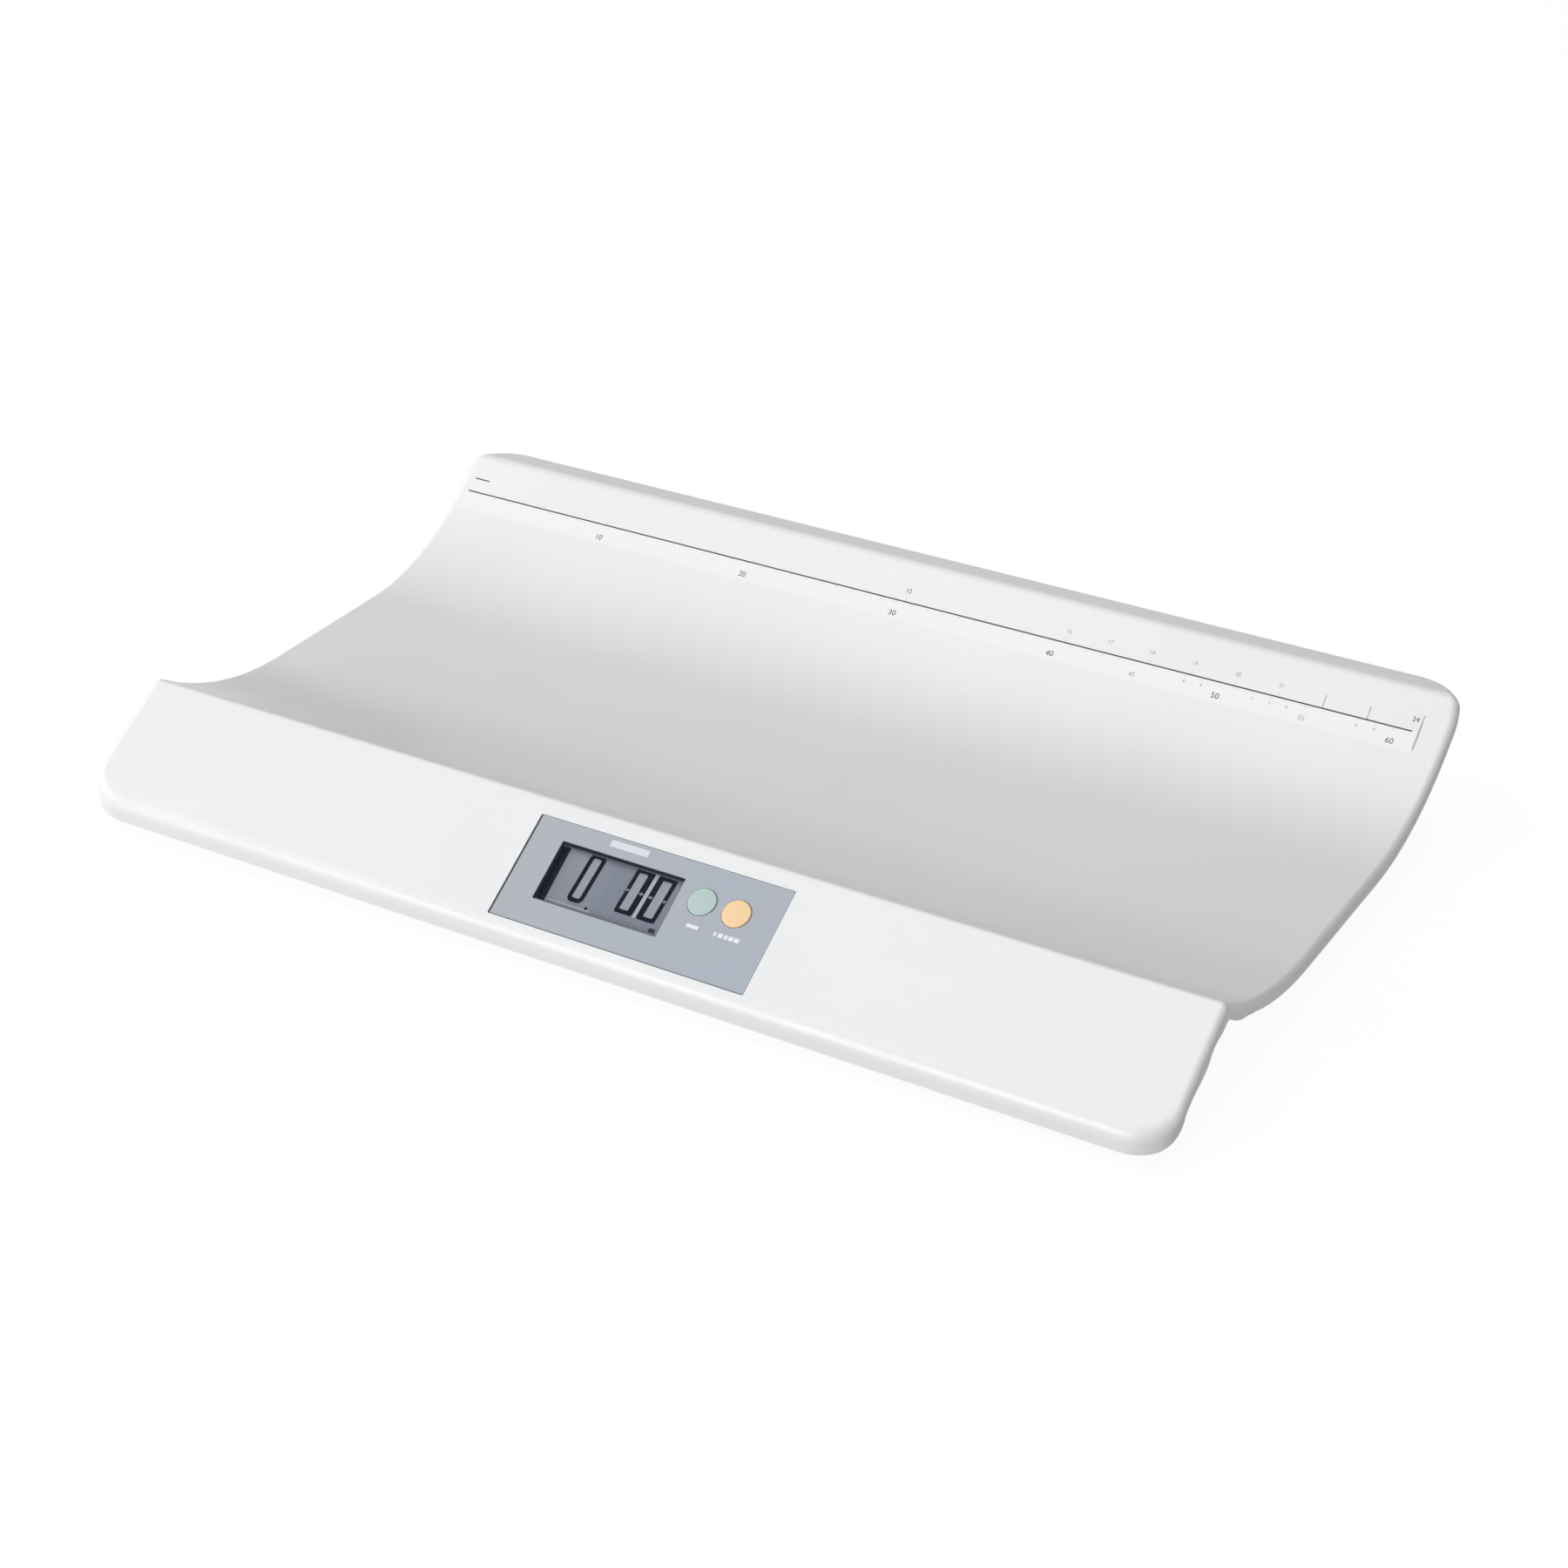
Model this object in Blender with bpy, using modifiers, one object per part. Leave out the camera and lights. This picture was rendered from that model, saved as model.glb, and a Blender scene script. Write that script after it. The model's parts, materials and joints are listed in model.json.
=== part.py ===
"""Electronic baby scale: a curved one-piece tray with a display in its sloping apron, on a lower housing.

The housing stands on four feet, and each foot presses on a load cell. X runs to the right along the tray,
Y to the back and Z up. The origin is on the table, under the middle of the scale.
"""

import math

import bmesh
import bpy
import numpy as np
from mathutils import Matrix, Vector

# Clearances and overruns that all pieces share
GAP = 0.0003
OVERRUN = 0.0020
QUARTER = math.pi / 2
FULL_TURN = 2 * math.pi
AXIS_MERGE = 0.00001

# Sides of round pieces, by how large they are and whether they show
COARSE = 10
MEDIUM = 16
FINE = 20
SHOWN = 32

# Tray in plan and in section, measured from the crest between apron and trough
TRAY_LENGTH = 0.6380
TRAY_WALL = 0.0025
APRON_FOOT_HEIGHT = 0.019446
CREST_RADIUS = 0.0035
APRON_REACH = 0.0649
APRON_SLOPE = math.radians(32.0)
APRON_FLARE = 0.0010
APRON_EDGE_HEIGHT = 0.0084
TROUGH_HEIGHT = 0.0295
FRONT_WALL_SLOPE = math.radians(30.5)
FRONT_SWEEP = 0.1650
BACK_WALL_SLOPE = math.radians(42.0)
BACK_SWEEP = 0.1400
BACK_REACH = 0.3190
BACK_WALL_RISE = 0.0510
LIP_WIDTH = 0.0170
LIP_SWEEP = 0.0080

# Tray rim: the edge rolls over and ends in a skirt
FRONT_ROLL = 0.0100
SIDE_ROLL = 0.0044
LIP_ROLL = 0.0040
ROLL_STEPS = 4
RIM_LEAST_SKIRT = 0.0008
RIM_DEPTH = 0.0055
RIM_LINE = (
    (-0.0400, 0.0060), (-0.0230, 0.0085), (-0.0160, 0.0055),
    (-0.0040, 0.0085), (0.0100, 0.0090), (0.0300, 0.0064),
)
BACK_CORNER = 0.0260
FRONT_CORNER_WIDTH = 0.0200
FRONT_CORNER_DEPTH = 0.0150
CORNER_STEPS = 5
END_RIB_THICKNESS = 0.0020
END_RIB_INSET = 0.0270
END_RIB_PITCH = 0.0140

# Lower housing
BASE_END_INSET = 0.0570
BASE_FRONT_INSET = 0.0070
BASE_BACK_INSET = 0.0780
BASE_CORNER = 0.0300
BASE_ROLL = 0.0070
BASE_DRAFT = 0.0030
BASE_WALL = 0.0026
BASE_CLEARANCE = 0.0055
RIB_THICKNESS = 0.0018
RIB_BOARD_GAP = 0.0059
RIB_LEAD_GAP = 0.0130
RIB_LANE_GAP = 0.0260
RIB_BAY_GAP = 0.0057
CHANNEL_HEIGHT = 0.0060

# Feet and load cells
FOOT_SIDE_INSET = 0.0570
FOOT_FRONT_INSET = 0.0458
FOOT_BACK_INSET = 0.1180
FOOT_RADIUS = 0.0145
FOOT_TRAVEL = 0.0003
FOOT_FLANGE_OVERHANG = 0.0017
FOOT_FLANGE_THICKNESS = 0.0015
FOOT_WALL = 0.0018
FOOT_FLOOR = 0.0018
FOOT_BUTTON_RADIUS = 0.0050
FOOT_EDGE = 0.0010
PAD_RADIUS = 0.0120
PAD_THICKNESS = 0.0020
PAD_STANDOUT = 0.0010
CELL_SIZE = 0.0400
CELL_THICKNESS = 0.0030
CELL_CORNER = 0.0030
CELL_SLOT = 0.0024
CELL_TONGUE = 0.0120
CELL_FRAME = 0.0060
GAUGE_SIZE = (0.0100, 0.0060, 0.0022)
GAUGE_PLACE = -0.0095
SEAT_LEDGE = 0.0032
SEAT_WALL = 0.0016
SEAT_LIP = 0.0018

# Shell screws and their posts
SCREW_SIDE_INSET = 0.0270
SCREW_SIDE_PLACE = -0.0380
SCREW_FRONT_INSET = 0.02895
SCREW_BACK_INSET = 0.01995
SCREW_RADIUS = 0.0015
SCREW_LENGTH = 0.0140
SCREW_HEAD_RADIUS = 0.0036
SCREW_HEAD_HEIGHT = 0.0024
SOCKET_SHARE = 0.45
POINT_SHARE = 0.4
HEAD_FACE_SHARE = 0.75
POST_RADIUS = 0.0062
POST_FLOOR = 0.0060
POST_HEIGHT = 0.0122
BOSS_RADIUS = 0.0042
BOSS_PILOT_DEPTH = 0.0080

# Battery bay, its cells and its door
BATTERY_COUNT = 4
BATTERY_RADIUS = 0.00725
BATTERY_LENGTH = 0.0505
BATTERY_NUB_RADIUS = 0.00275
BATTERY_NUB_HEIGHT = 0.0011
BATTERY_EDGE = 0.0007
BATTERY_SPACING = 0.0005
BAY_WALL = 0.0018
BAY_CEILING = 0.0016
BAY_RIM = 0.0050
CONTACT_THICKNESS = 0.0005
CONTACT_HEIGHT = 0.0110
CONTACT_MARGIN = 0.0030
TAB_WIDTH = 0.0030
TAB_REACH = 0.0020
SPRING_LENGTH = 0.0060
SPRING_RADIUS = 0.0030
SPRING_WIRE = 0.0004
SPRING_TURNS = 4
SPRING_POINTS = 8
DOOR_THICKNESS = 0.0023
DOOR_CORNER = 0.0030
DOOR_LAP = 0.0030
DOOR_BARREL = 0.0015
DOOR_BARREL_RISE = 0.0016
DOOR_PIN_RADIUS = 0.0008
DOOR_PIN_LENGTH = 0.0020
DOOR_RIB_HEIGHT = 0.0009
DOOR_RIB_THICKNESS = 0.0012
DOOR_RIB_COUNT = 3
LATCH_WIDTH = 0.0180
LATCH_LENGTH = 0.0100
LATCH_SLOT = 0.0012
THUMB_RADIUS = 0.0090
THUMB_DEPTH = 0.0012

# Control panel, in its own frame: x to the right, y up the apron, z out of the apron
PANEL_OFFSET = 0.0181
PANEL_TOP_MARGIN = 0.01035
PANEL_LOW_MARGIN = 0.00648
PANEL_THICKNESS = 0.0010
PANEL_CORNER = 0.0008
PANEL_SET_BACK = 0.0001
WINDOW_LEFT_MARGIN = 0.01855
WINDOW_LENGTH = 0.0734
WINDOW_TOP_MARGIN = 0.01045
WINDOW_LOW_MARGIN = 0.01465
WINDOW_CORNER = 0.0010
COLLAR_LAP = 0.0010
COLLAR_WALL = 0.0020
GLASS_THICKNESS = 0.0022
GLASS_DEPTH = 0.0046
BEZEL_WALL = 0.0017
STRIP_THICKNESS = 0.0020
STRIP_INSET = 0.0020
BUTTON_RADIUS = 0.0077
BUTTON_STANDOUT = 0.0008
BUTTON_EDGE = 0.0006
BUTTON_FLANGE = 0.00135
BUTTON_FLANGE_THICKNESS = 0.0012
BUTTON_STEM_RADIUS = 0.0022
BUTTON_TRAVEL = 0.0006
GREEN_GAP = 0.0143
GREEN_RISE = 0.0100
BUTTON_PITCH = 0.0201
ORANGE_RISE = 0.0094
ORANGE_MARGIN = 0.02335

# Circuit board and what it carries
BOARD_BUTTON_MARGIN = 0.0145
BOARD_INSET = 0.00485
BOARD_CORNER = 0.0020
BOARD_THICKNESS = 0.0016
BOARD_DEPTH = 0.0120
BOARD_SCREW_INSET = 0.0045
BOARD_SCREW_RADIUS = 0.0011
BOARD_SCREW_LENGTH = 0.0085
BOARD_SCREW_HEAD_RADIUS = 0.0026
BOARD_SCREW_HEAD_HEIGHT = 0.0016
BOARD_BOSS_RADIUS = 0.0032
SWITCH_SIZE = 0.0060
SWITCH_HEIGHT = 0.0035
PLUNGER_RADIUS = 0.00175
PLUNGER_HEIGHT = 0.0008
CHIP_SIZE = 0.0140
CHIP_THICKNESS = 0.0016
CHIP_OFFSET = -0.0004
HEADER_LENGTH = 0.0180
HEADER_WIDTH = 0.0050
HEADER_HEIGHT = 0.0050
HEADER_OFFSET = 0.0296
HEADER_INSET = 0.0110

# Leads from the load cells and the battery bay; each takes a place in the header, counted from the left
LEAD_RADIUS = 0.0010
LEAD_PITCH = 0.0026
LEAD_COUNT = 6
CELL_LEADS = {0: ("front_left", 1), 1: ("back_left", 0), 4: ("back_right", 0), 5: ("front_right", 1)}
BATTERY_LEADS = {2: ("minus", 0), 3: ("plus", 3)}
LEAD_BEND = 0.0040
LEAD_BEND_SHARE = 0.45
LEAD_BEND_STEPS = 3
LEAD_LANE_INSET = 0.04215
LEAD_LANE_PITCH = 0.0040
LEAD_TURN_INSET = 0.0070
CHANNEL_WIDTH = 0.0080

# Places that follow from the sizes above
MID_Y = (APRON_REACH - BACK_REACH) / 2
APRON_LENGTH = APRON_REACH / math.cos(APRON_SLOPE)
FRONT_Y = MID_Y - APRON_REACH
BACK_Y = MID_Y + BACK_REACH
ROLL_START_Y = FRONT_Y + FRONT_ROLL * (1 - math.sin(APRON_SLOPE))
CREST_HEIGHT = APRON_FOOT_HEIGHT + APRON_REACH * math.tan(APRON_SLOPE)
TROUGH_DROP = CREST_HEIGHT - TROUGH_HEIGHT
LIP_HEIGHT = TROUGH_HEIGHT + BACK_WALL_RISE
BASE_LENGTH = TRAY_LENGTH - 2 * BASE_END_INSET
BASE_FRONT_Y = FRONT_Y + BASE_FRONT_INSET
BASE_BACK_Y = BACK_Y - BASE_BACK_INSET
BASE_FLOOR = BASE_CLEARANCE + BASE_WALL
FOOT_SPREAD = BASE_LENGTH - 2 * FOOT_SIDE_INSET
FOOT_PLACES = {
    f"{end}_{side}": Vector((sign * FOOT_SPREAD / 2, y, 0))
    for end, y in (("front", FRONT_Y + FOOT_FRONT_INSET), ("back", BACK_Y - FOOT_BACK_INSET))
    for side, sign in (("left", -1), ("right", 1))
}
FOOT_FLANGE_BOTTOM = BASE_FLOOR + GAP
FOOT_FLANGE_TOP = FOOT_FLANGE_BOTTOM + FOOT_FLANGE_THICKNESS
FOOT_BUTTON_TOP = FOOT_FLANGE_TOP + FOOT_TRAVEL + 3 * GAP
CELL_BOTTOM = FOOT_BUTTON_TOP + FOOT_TRAVEL + GAP / 3
PANEL_LENGTH = WINDOW_LEFT_MARGIN + WINDOW_LENGTH + GREEN_GAP + BUTTON_PITCH + ORANGE_MARGIN
PANEL_WIDTH = APRON_LENGTH - PANEL_TOP_MARGIN - PANEL_LOW_MARGIN
PANEL_DOWN_SLOPE = PANEL_TOP_MARGIN + PANEL_WIDTH / 2
WINDOW_WIDTH = PANEL_WIDTH - WINDOW_TOP_MARGIN - WINDOW_LOW_MARGIN
WINDOW_PLACE = (
    WINDOW_LEFT_MARGIN + (WINDOW_LENGTH - PANEL_LENGTH) / 2,
    (WINDOW_LOW_MARGIN - WINDOW_TOP_MARGIN) / 2,
)
GREEN_PLACE = (WINDOW_PLACE[0] + WINDOW_LENGTH / 2 + GREEN_GAP, GREEN_RISE)
ORANGE_PLACE = (GREEN_PLACE[0] + BUTTON_PITCH, ORANGE_RISE)
BOARD_LEFT = BOARD_INSET - PANEL_LENGTH / 2
BOARD_RIGHT = ORANGE_PLACE[0] + BOARD_BUTTON_MARGIN
BOARD_WIDTH = PANEL_WIDTH - 2 * BOARD_INSET
CHIP_PLACE = (WINDOW_PLACE[0] + CHIP_OFFSET, 0)
HEADER_PLACE = (WINDOW_PLACE[0] + HEADER_OFFSET, BOARD_WIDTH / 2 - HEADER_INSET)
SCREW_SIDE_SPREAD = BASE_LENGTH - 2 * SCREW_SIDE_INSET
SEAT_HALF = CELL_SIZE / 2 + GAP + SEAT_WALL
SCREW_END_SPREAD = PANEL_OFFSET + BOARD_RIGHT + FOOT_SPREAD / 2 - SEAT_HALF
SCREW_ROWS = BASE_FRONT_Y + SCREW_FRONT_INSET, BASE_BACK_Y - SCREW_BACK_INSET
SHELL_SCREW_PLACES = [(sign * SCREW_SIDE_SPREAD / 2, SCREW_SIDE_PLACE) for sign in (-1, 1)] + [
    (sign * SCREW_END_SPREAD / 2, y) for y in SCREW_ROWS for sign in (-1, 1)
]
POST_TOP = BASE_CLEARANCE + POST_HEIGHT
BOSS_BOTTOM = POST_TOP + GAP
BATTERY_PITCH = 2 * BATTERY_RADIUS + BATTERY_SPACING
BAY_INSIDE = (
    BATTERY_LENGTH + 2 * (CONTACT_THICKNESS + GAP) + SPRING_LENGTH + 3 * GAP,
    BATTERY_COUNT * BATTERY_PITCH + 2 * GAP,
)
BAY_RIM_HALF = [inside / 2 + BAY_RIM + DOOR_LAP for inside in BAY_INSIDE]
BAY_TOP = TROUGH_HEIGHT - TRAY_WALL - GAP - BAY_CEILING - 2 * GAP
BATTERY_HEIGHT = BAY_TOP - GAP - BATTERY_RADIUS
DOOR_SIZE = tuple(inside + 2 * DOOR_LAP for inside in BAY_INSIDE)
DOOR_BACK_Y = DOOR_SIZE[1] / 2
DOOR_AXIS = Vector((0, DOOR_BACK_Y - DOOR_BARREL, BASE_CLEARANCE + DOOR_BARREL_RISE))
PANEL_ORIGIN = Vector((
    PANEL_OFFSET,
    MID_Y - PANEL_DOWN_SLOPE * math.cos(APRON_SLOPE),
    CREST_HEIGHT - PANEL_DOWN_SLOPE * math.sin(APRON_SLOPE),
))
PANEL_RECESS = PANEL_SET_BACK + PANEL_THICKNESS + GAP
COLLAR_TOP = -PANEL_SET_BACK - PANEL_THICKNESS - GAP
COLLAR_SIZE = (WINDOW_LENGTH + 2 * COLLAR_LAP, WINDOW_WIDTH + 2 * COLLAR_LAP)
GLASS_TOP = -GLASS_DEPTH
GLASS_SIZE = (COLLAR_SIZE[0] + COLLAR_LAP, COLLAR_SIZE[1] + COLLAR_LAP)
BEZEL_SIZE = tuple(size + 2 * (GAP + BEZEL_WALL) for size in GLASS_SIZE)
BEZEL_TOP = -TRAY_WALL - GAP
BOARD_TOP = -BOARD_DEPTH
BOARD_BOTTOM = BOARD_TOP - BOARD_THICKNESS
BOARD_SCREW_PLACES = [
    (x, sign * (BOARD_WIDTH / 2 - BOARD_SCREW_INSET))
    for x in (BOARD_LEFT + BOARD_SCREW_INSET, BOARD_RIGHT - BOARD_SCREW_INSET)
    for sign in (-1, 1)
]
PLUNGER_TOP = BOARD_TOP + GAP + SWITCH_HEIGHT + PLUNGER_HEIGHT
STEM_BOTTOM = PLUNGER_TOP + BUTTON_TRAVEL + GAP / 3
TAB_END = BAY_INSIDE[0] / 2 + BAY_WALL + TAB_REACH
LEAD_FLOOR = BASE_FLOOR + GAP + LEAD_RADIUS
LEAD_TURN_X = FOOT_SPREAD / 2 - CELL_SIZE / 2 - LEAD_TURN_INSET
LEAD_LANE_PLACE = FOOT_PLACES["front_left"].y + LEAD_LANE_INSET
CROSS_RIB_PLACES = (PANEL_OFFSET + BOARD_RIGHT + RIB_BOARD_GAP, LEAD_TURN_X - RIB_LEAD_GAP)
LONG_RIB_PLACES = (LEAD_LANE_PLACE + RIB_LANE_GAP, BAY_RIM_HALF[1] + RIB_BAY_GAP)


def battery_row(k):
    """The y of cell k, counted from the front."""
    return (k - (BATTERY_COUNT - 1) / 2) * BATTERY_PITCH


# Scene, materials and objects


def clear_scene():
    """Removes what the startup file holds."""
    for obj in list(bpy.data.objects):
        bpy.data.objects.remove(obj, do_unlink=True)


def new_collection(name):
    """A collection linked to the scene."""
    collection = bpy.data.collections.new(name)
    bpy.context.scene.collection.children.link(collection)
    return collection


def finish(name, colour, roughness, metallic=0.0, alpha=1.0):
    """A material with one Principled BSDF."""
    material = bpy.data.materials.new(name)
    material.use_nodes = True
    shader = material.node_tree.nodes["Principled BSDF"]
    shader.inputs["Base Color"].default_value = (*colour, 1.0)
    shader.inputs["Roughness"].default_value = roughness
    shader.inputs["Metallic"].default_value = metallic
    shader.inputs["Alpha"].default_value = alpha
    material.diffuse_color = (*colour, alpha)
    return material


class Workshop:
    """Makes objects in the collection of parts or in that of the cutters."""

    def __init__(self):
        self.parts = new_collection("baby_scale")
        self.cutters = new_collection("cutters")
        self.panel = bpy.data.objects.new("panel_frame", None)
        self.parts.objects.link(self.panel)
        self.panel.location = PANEL_ORIGIN
        self.panel.rotation_euler = (APRON_SLOPE, 0, 0)

    def add(self, name, data, material=None, parent=None, place=(0, 0, 0), turn=(0, 0, 0)):
        """An object of the given mesh or curve; one with no material is a cutter."""
        obj = bpy.data.objects.new(name, data)
        obj.location = place
        obj.rotation_euler = turn
        obj.parent = parent
        if material is None:
            self.cutters.objects.link(obj)
            obj.hide_render = True
            obj.display_type = "WIRE"
        else:
            self.parts.objects.link(obj)
            if not obj.data.materials:
                obj.data.materials.append(material)
        return obj


def mesh_from(name, build):
    """A mesh made by a function that fills a bmesh."""
    mesh = bpy.data.meshes.new(name)
    bm = bmesh.new()
    build(bm)
    bmesh.ops.recalc_face_normals(bm, faces=bm.faces)
    bm.to_mesh(mesh)
    bm.free()
    return mesh


def boxes(name, corners):
    """One mesh of boxes, each given by its lowest and highest corner."""

    def build(bm):
        for low, high in corners:
            low, high = Vector(low), Vector(high)
            scale = Matrix.Diagonal((*(high - low), 1.0))
            bmesh.ops.create_cube(bm, size=1.0, matrix=Matrix.Translation((low + high) / 2) @ scale)

    return mesh_from(name, build)


def pins(name, places, radius, bottom, top, sides=FINE):
    """One mesh of upright cylinders of one radius."""

    def build(bm):
        for x, y in places:
            bmesh.ops.create_cone(
                bm, cap_ends=True, segments=sides, radius1=radius, radius2=radius, depth=top - bottom,
                matrix=Matrix.Translation((x, y, (bottom + top) / 2)),
            )

    return mesh_from(name, build)


def slab(outline, bottom, top):
    """Builds a flat outline, a list of (x, y), raised from one height to another."""

    def build(bm):
        face = bm.faces.new([bm.verts.new((x, y, bottom)) for x, y in outline])
        raised = bmesh.ops.extrude_face_region(bm, geom=[face])["geom"]
        moved = [v for v in raised if isinstance(v, bmesh.types.BMVert)]
        bmesh.ops.translate(bm, verts=moved, vec=(0, 0, top - bottom))

    return build


def rod(radius, length, matrix, sides):
    """Builds a cylinder about the Z axis of a matrix."""
    return lambda bm: bmesh.ops.create_cone(
        bm, cap_ends=True, segments=sides, radius1=radius, radius2=radius, depth=length, matrix=matrix
    )


def rounded_rectangle(low, high, radius, steps=4):
    """Outline of a rectangle with round corners, anticlockwise."""
    radius = min(radius, (high[0] - low[0]) / 2, (high[1] - low[1]) / 2)
    centres = (
        (high[0] - radius, low[1] + radius, -QUARTER), (high[0] - radius, high[1] - radius, 0),
        (low[0] + radius, high[1] - radius, QUARTER), (low[0] + radius, low[1] + radius, 2 * QUARTER),
    )
    return [
        (x + radius * math.cos(angle), y + radius * math.sin(angle))
        for x, y, start in centres
        for angle in [start + QUARTER * k / steps for k in range(steps + 1)]
    ]


def centred_rectangle(size, radius, centre=(0, 0), steps=4):
    """Outline of a rounded rectangle about a centre."""
    low = (centre[0] - size[0] / 2, centre[1] - size[1] / 2)
    high = (centre[0] + size[0] / 2, centre[1] + size[1] / 2)
    return rounded_rectangle(low, high, radius, steps)


def loft(name, loops, close_top=True):
    """Walls between loops of as many points each, a floor on the first and, if asked, a lid on the last."""
    points = np.concatenate(loops)
    count = len(loops[0])
    ring = np.arange(count)
    following = np.roll(ring, -1)
    faces = [ring[::-1].tolist()]
    for k in range(len(loops) - 1):
        low, high = k * count, (k + 1) * count
        faces += np.stack([low + ring, low + following, high + following, high + ring], 1).tolist()
    if close_top:
        faces.append((ring + (len(loops) - 1) * count).tolist())
    mesh = bpy.data.meshes.new(name)
    mesh.from_pydata(points.tolist(), [], faces)
    return mesh


def turned(workshop, name, profile, steps, material=None, **where):
    """A turned solid from (radius, height) points, from the top of the axis down outside to its bottom."""
    mesh = bpy.data.meshes.new(name)
    edges = [(k, k + 1) for k in range(len(profile) - 1)]
    mesh.from_pydata([(radius, 0, height) for radius, height in profile], edges, [])
    obj = workshop.add(name, mesh, material, **where)
    spin = obj.modifiers.new("turn", "SCREW")
    spin.angle = FULL_TURN
    spin.steps = spin.render_steps = steps
    spin.use_merge_vertices = True
    spin.merge_threshold = AXIS_MERGE
    spin.use_smooth_shade = True
    return obj


def combine(target, operation, *others):
    """Adds or cuts with other objects, exactly."""
    for other in others:
        step = target.modifiers.new(other.name, "BOOLEAN")
        step.operation = operation
        step.object = other
        step.solver = "EXACT"


def cut(target, *cutters):
    """Takes the cutters out of the target."""
    combine(target, "DIFFERENCE", *cutters)


def join(target, *pieces):
    """Makes the pieces part of the target."""
    combine(target, "UNION", *pieces)


def smooth(obj, angle=math.radians(35)):
    """Smooth shading but for edges sharper than an angle."""
    obj.data.shade_smooth()
    obj.data.set_sharp_from_angle(angle=angle)


# Section of the tray


def filleted(corners, radii, steps, longest_share=0.8):
    """A line of corners, each inner one made an arc that takes at most a share of its shorter side."""
    corners = [np.array(corner) for corner in corners]
    line = [corners[0]]
    for before, corner, after, radius, count in zip(corners, corners[1:], corners[2:], radii, steps):
        lengths = np.linalg.norm(before - corner), np.linalg.norm(after - corner)
        shorter = min(lengths)
        to_before, to_after = (before - corner) / lengths[0], (after - corner) / lengths[1]
        half_angle = math.acos(np.clip(to_before @ to_after, -1, 1)) / 2
        reach = min(radius / math.tan(half_angle), longest_share * shorter)
        radius = reach * math.tan(half_angle)
        inward = (to_before + to_after) / np.linalg.norm(to_before + to_after)
        centre = corner + inward * radius / math.sin(half_angle)
        start = corner + to_before * reach - centre
        end = corner + to_after * reach - centre
        turn = math.pi - 2 * half_angle
        for k in range(count + 1):
            share = k / count
            arc = (math.sin((1 - share) * turn) * start + math.sin(share * turn) * end) / math.sin(turn)
            line.append(centre + arc)
    line.append(corners[-1])
    return np.array(line)


def tray_section():
    """The upper face of the tray from the apron's roll to the lip's: (y, z) points, front to back."""
    roll_start_height = CREST_HEIGHT - (MID_Y - ROLL_START_Y) * math.tan(APRON_SLOPE)
    wall_top = BACK_Y - LIP_WIDTH
    corners = [
        (ROLL_START_Y, roll_start_height),
        (MID_Y, CREST_HEIGHT),
        (MID_Y + TROUGH_DROP / math.tan(FRONT_WALL_SLOPE), TROUGH_HEIGHT),
        (wall_top - BACK_WALL_RISE / math.tan(BACK_WALL_SLOPE), TROUGH_HEIGHT),
        (wall_top, LIP_HEIGHT),
        (BACK_Y - LIP_ROLL, LIP_HEIGHT),
    ]
    return filleted(corners, (CREST_RADIUS, FRONT_SWEEP, BACK_SWEEP, LIP_SWEEP), (5, 7, 9, 4))


def lowered(line, depth):
    """The line moved down square to itself by a depth, mitred at its points."""
    along = np.diff(line, axis=0)
    along /= np.linalg.norm(along, axis=1)[:, None]
    down = np.stack([along[:, 1], -along[:, 0]], 1)
    before, after = np.vstack([down[:1], down]), np.vstack([down, down[-1:]])
    mitre = before + after
    mitre /= np.linalg.norm(mitre, axis=1)[:, None]
    return line + mitre * (depth / np.sum(mitre * before, axis=1))[:, None]


def extended(line, reach):
    """The line with both its ends carried on by a reach."""
    first, last = line[0] - line[1], line[-1] - line[-2]
    first, last = first / np.linalg.norm(first), last / np.linalg.norm(last)
    return np.vstack([line[0] + first * reach, line[1:-1], line[-1] + last * reach])


def beam(name, outline, left, right):
    """A solid of one (y, z) outline along X."""

    def build(bm):
        face = bm.faces.new([bm.verts.new((left, y, z)) for y, z in outline])
        grown = bmesh.ops.extrude_face_region(bm, geom=[face])["geom"]
        moved = [v for v in grown if isinstance(v, bmesh.types.BMVert)]
        bmesh.ops.translate(bm, verts=moved, vec=(right - left, 0, 0))

    return mesh_from(name, build)


def space_over(name, section, depth):
    """All the room above the tray's section lowered by a depth, as a cutter."""
    line = extended(lowered(section, depth), FRONT_ROLL)
    sky = LIP_HEIGHT + TROUGH_DROP
    outline = [*line.tolist(), (line[-1][0], sky), (line[0][0], sky)]
    return beam(name, outline, -TRAY_LENGTH, TRAY_LENGTH)


# Tray shell


def half_length(y):
    """Half the length of the top face at y: round corners, and an apron that flares towards its front."""
    back_run = np.clip((y - (BACK_Y - LIP_ROLL - BACK_CORNER)) / BACK_CORNER, 0, 1)
    front_run = np.clip((ROLL_START_Y + FRONT_CORNER_DEPTH - y) / FRONT_CORNER_DEPTH, 0, 1)
    flare = APRON_FLARE * np.clip((MID_Y - y) / APRON_REACH, 0, 1)
    back_inset = BACK_CORNER * (1 - np.sqrt(1 - back_run**2))
    front_inset = FRONT_CORNER_WIDTH * (1 - np.sqrt(1 - front_run**2))
    return TRAY_LENGTH / 2 + flare - SIDE_ROLL - back_inset - front_inset


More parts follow.
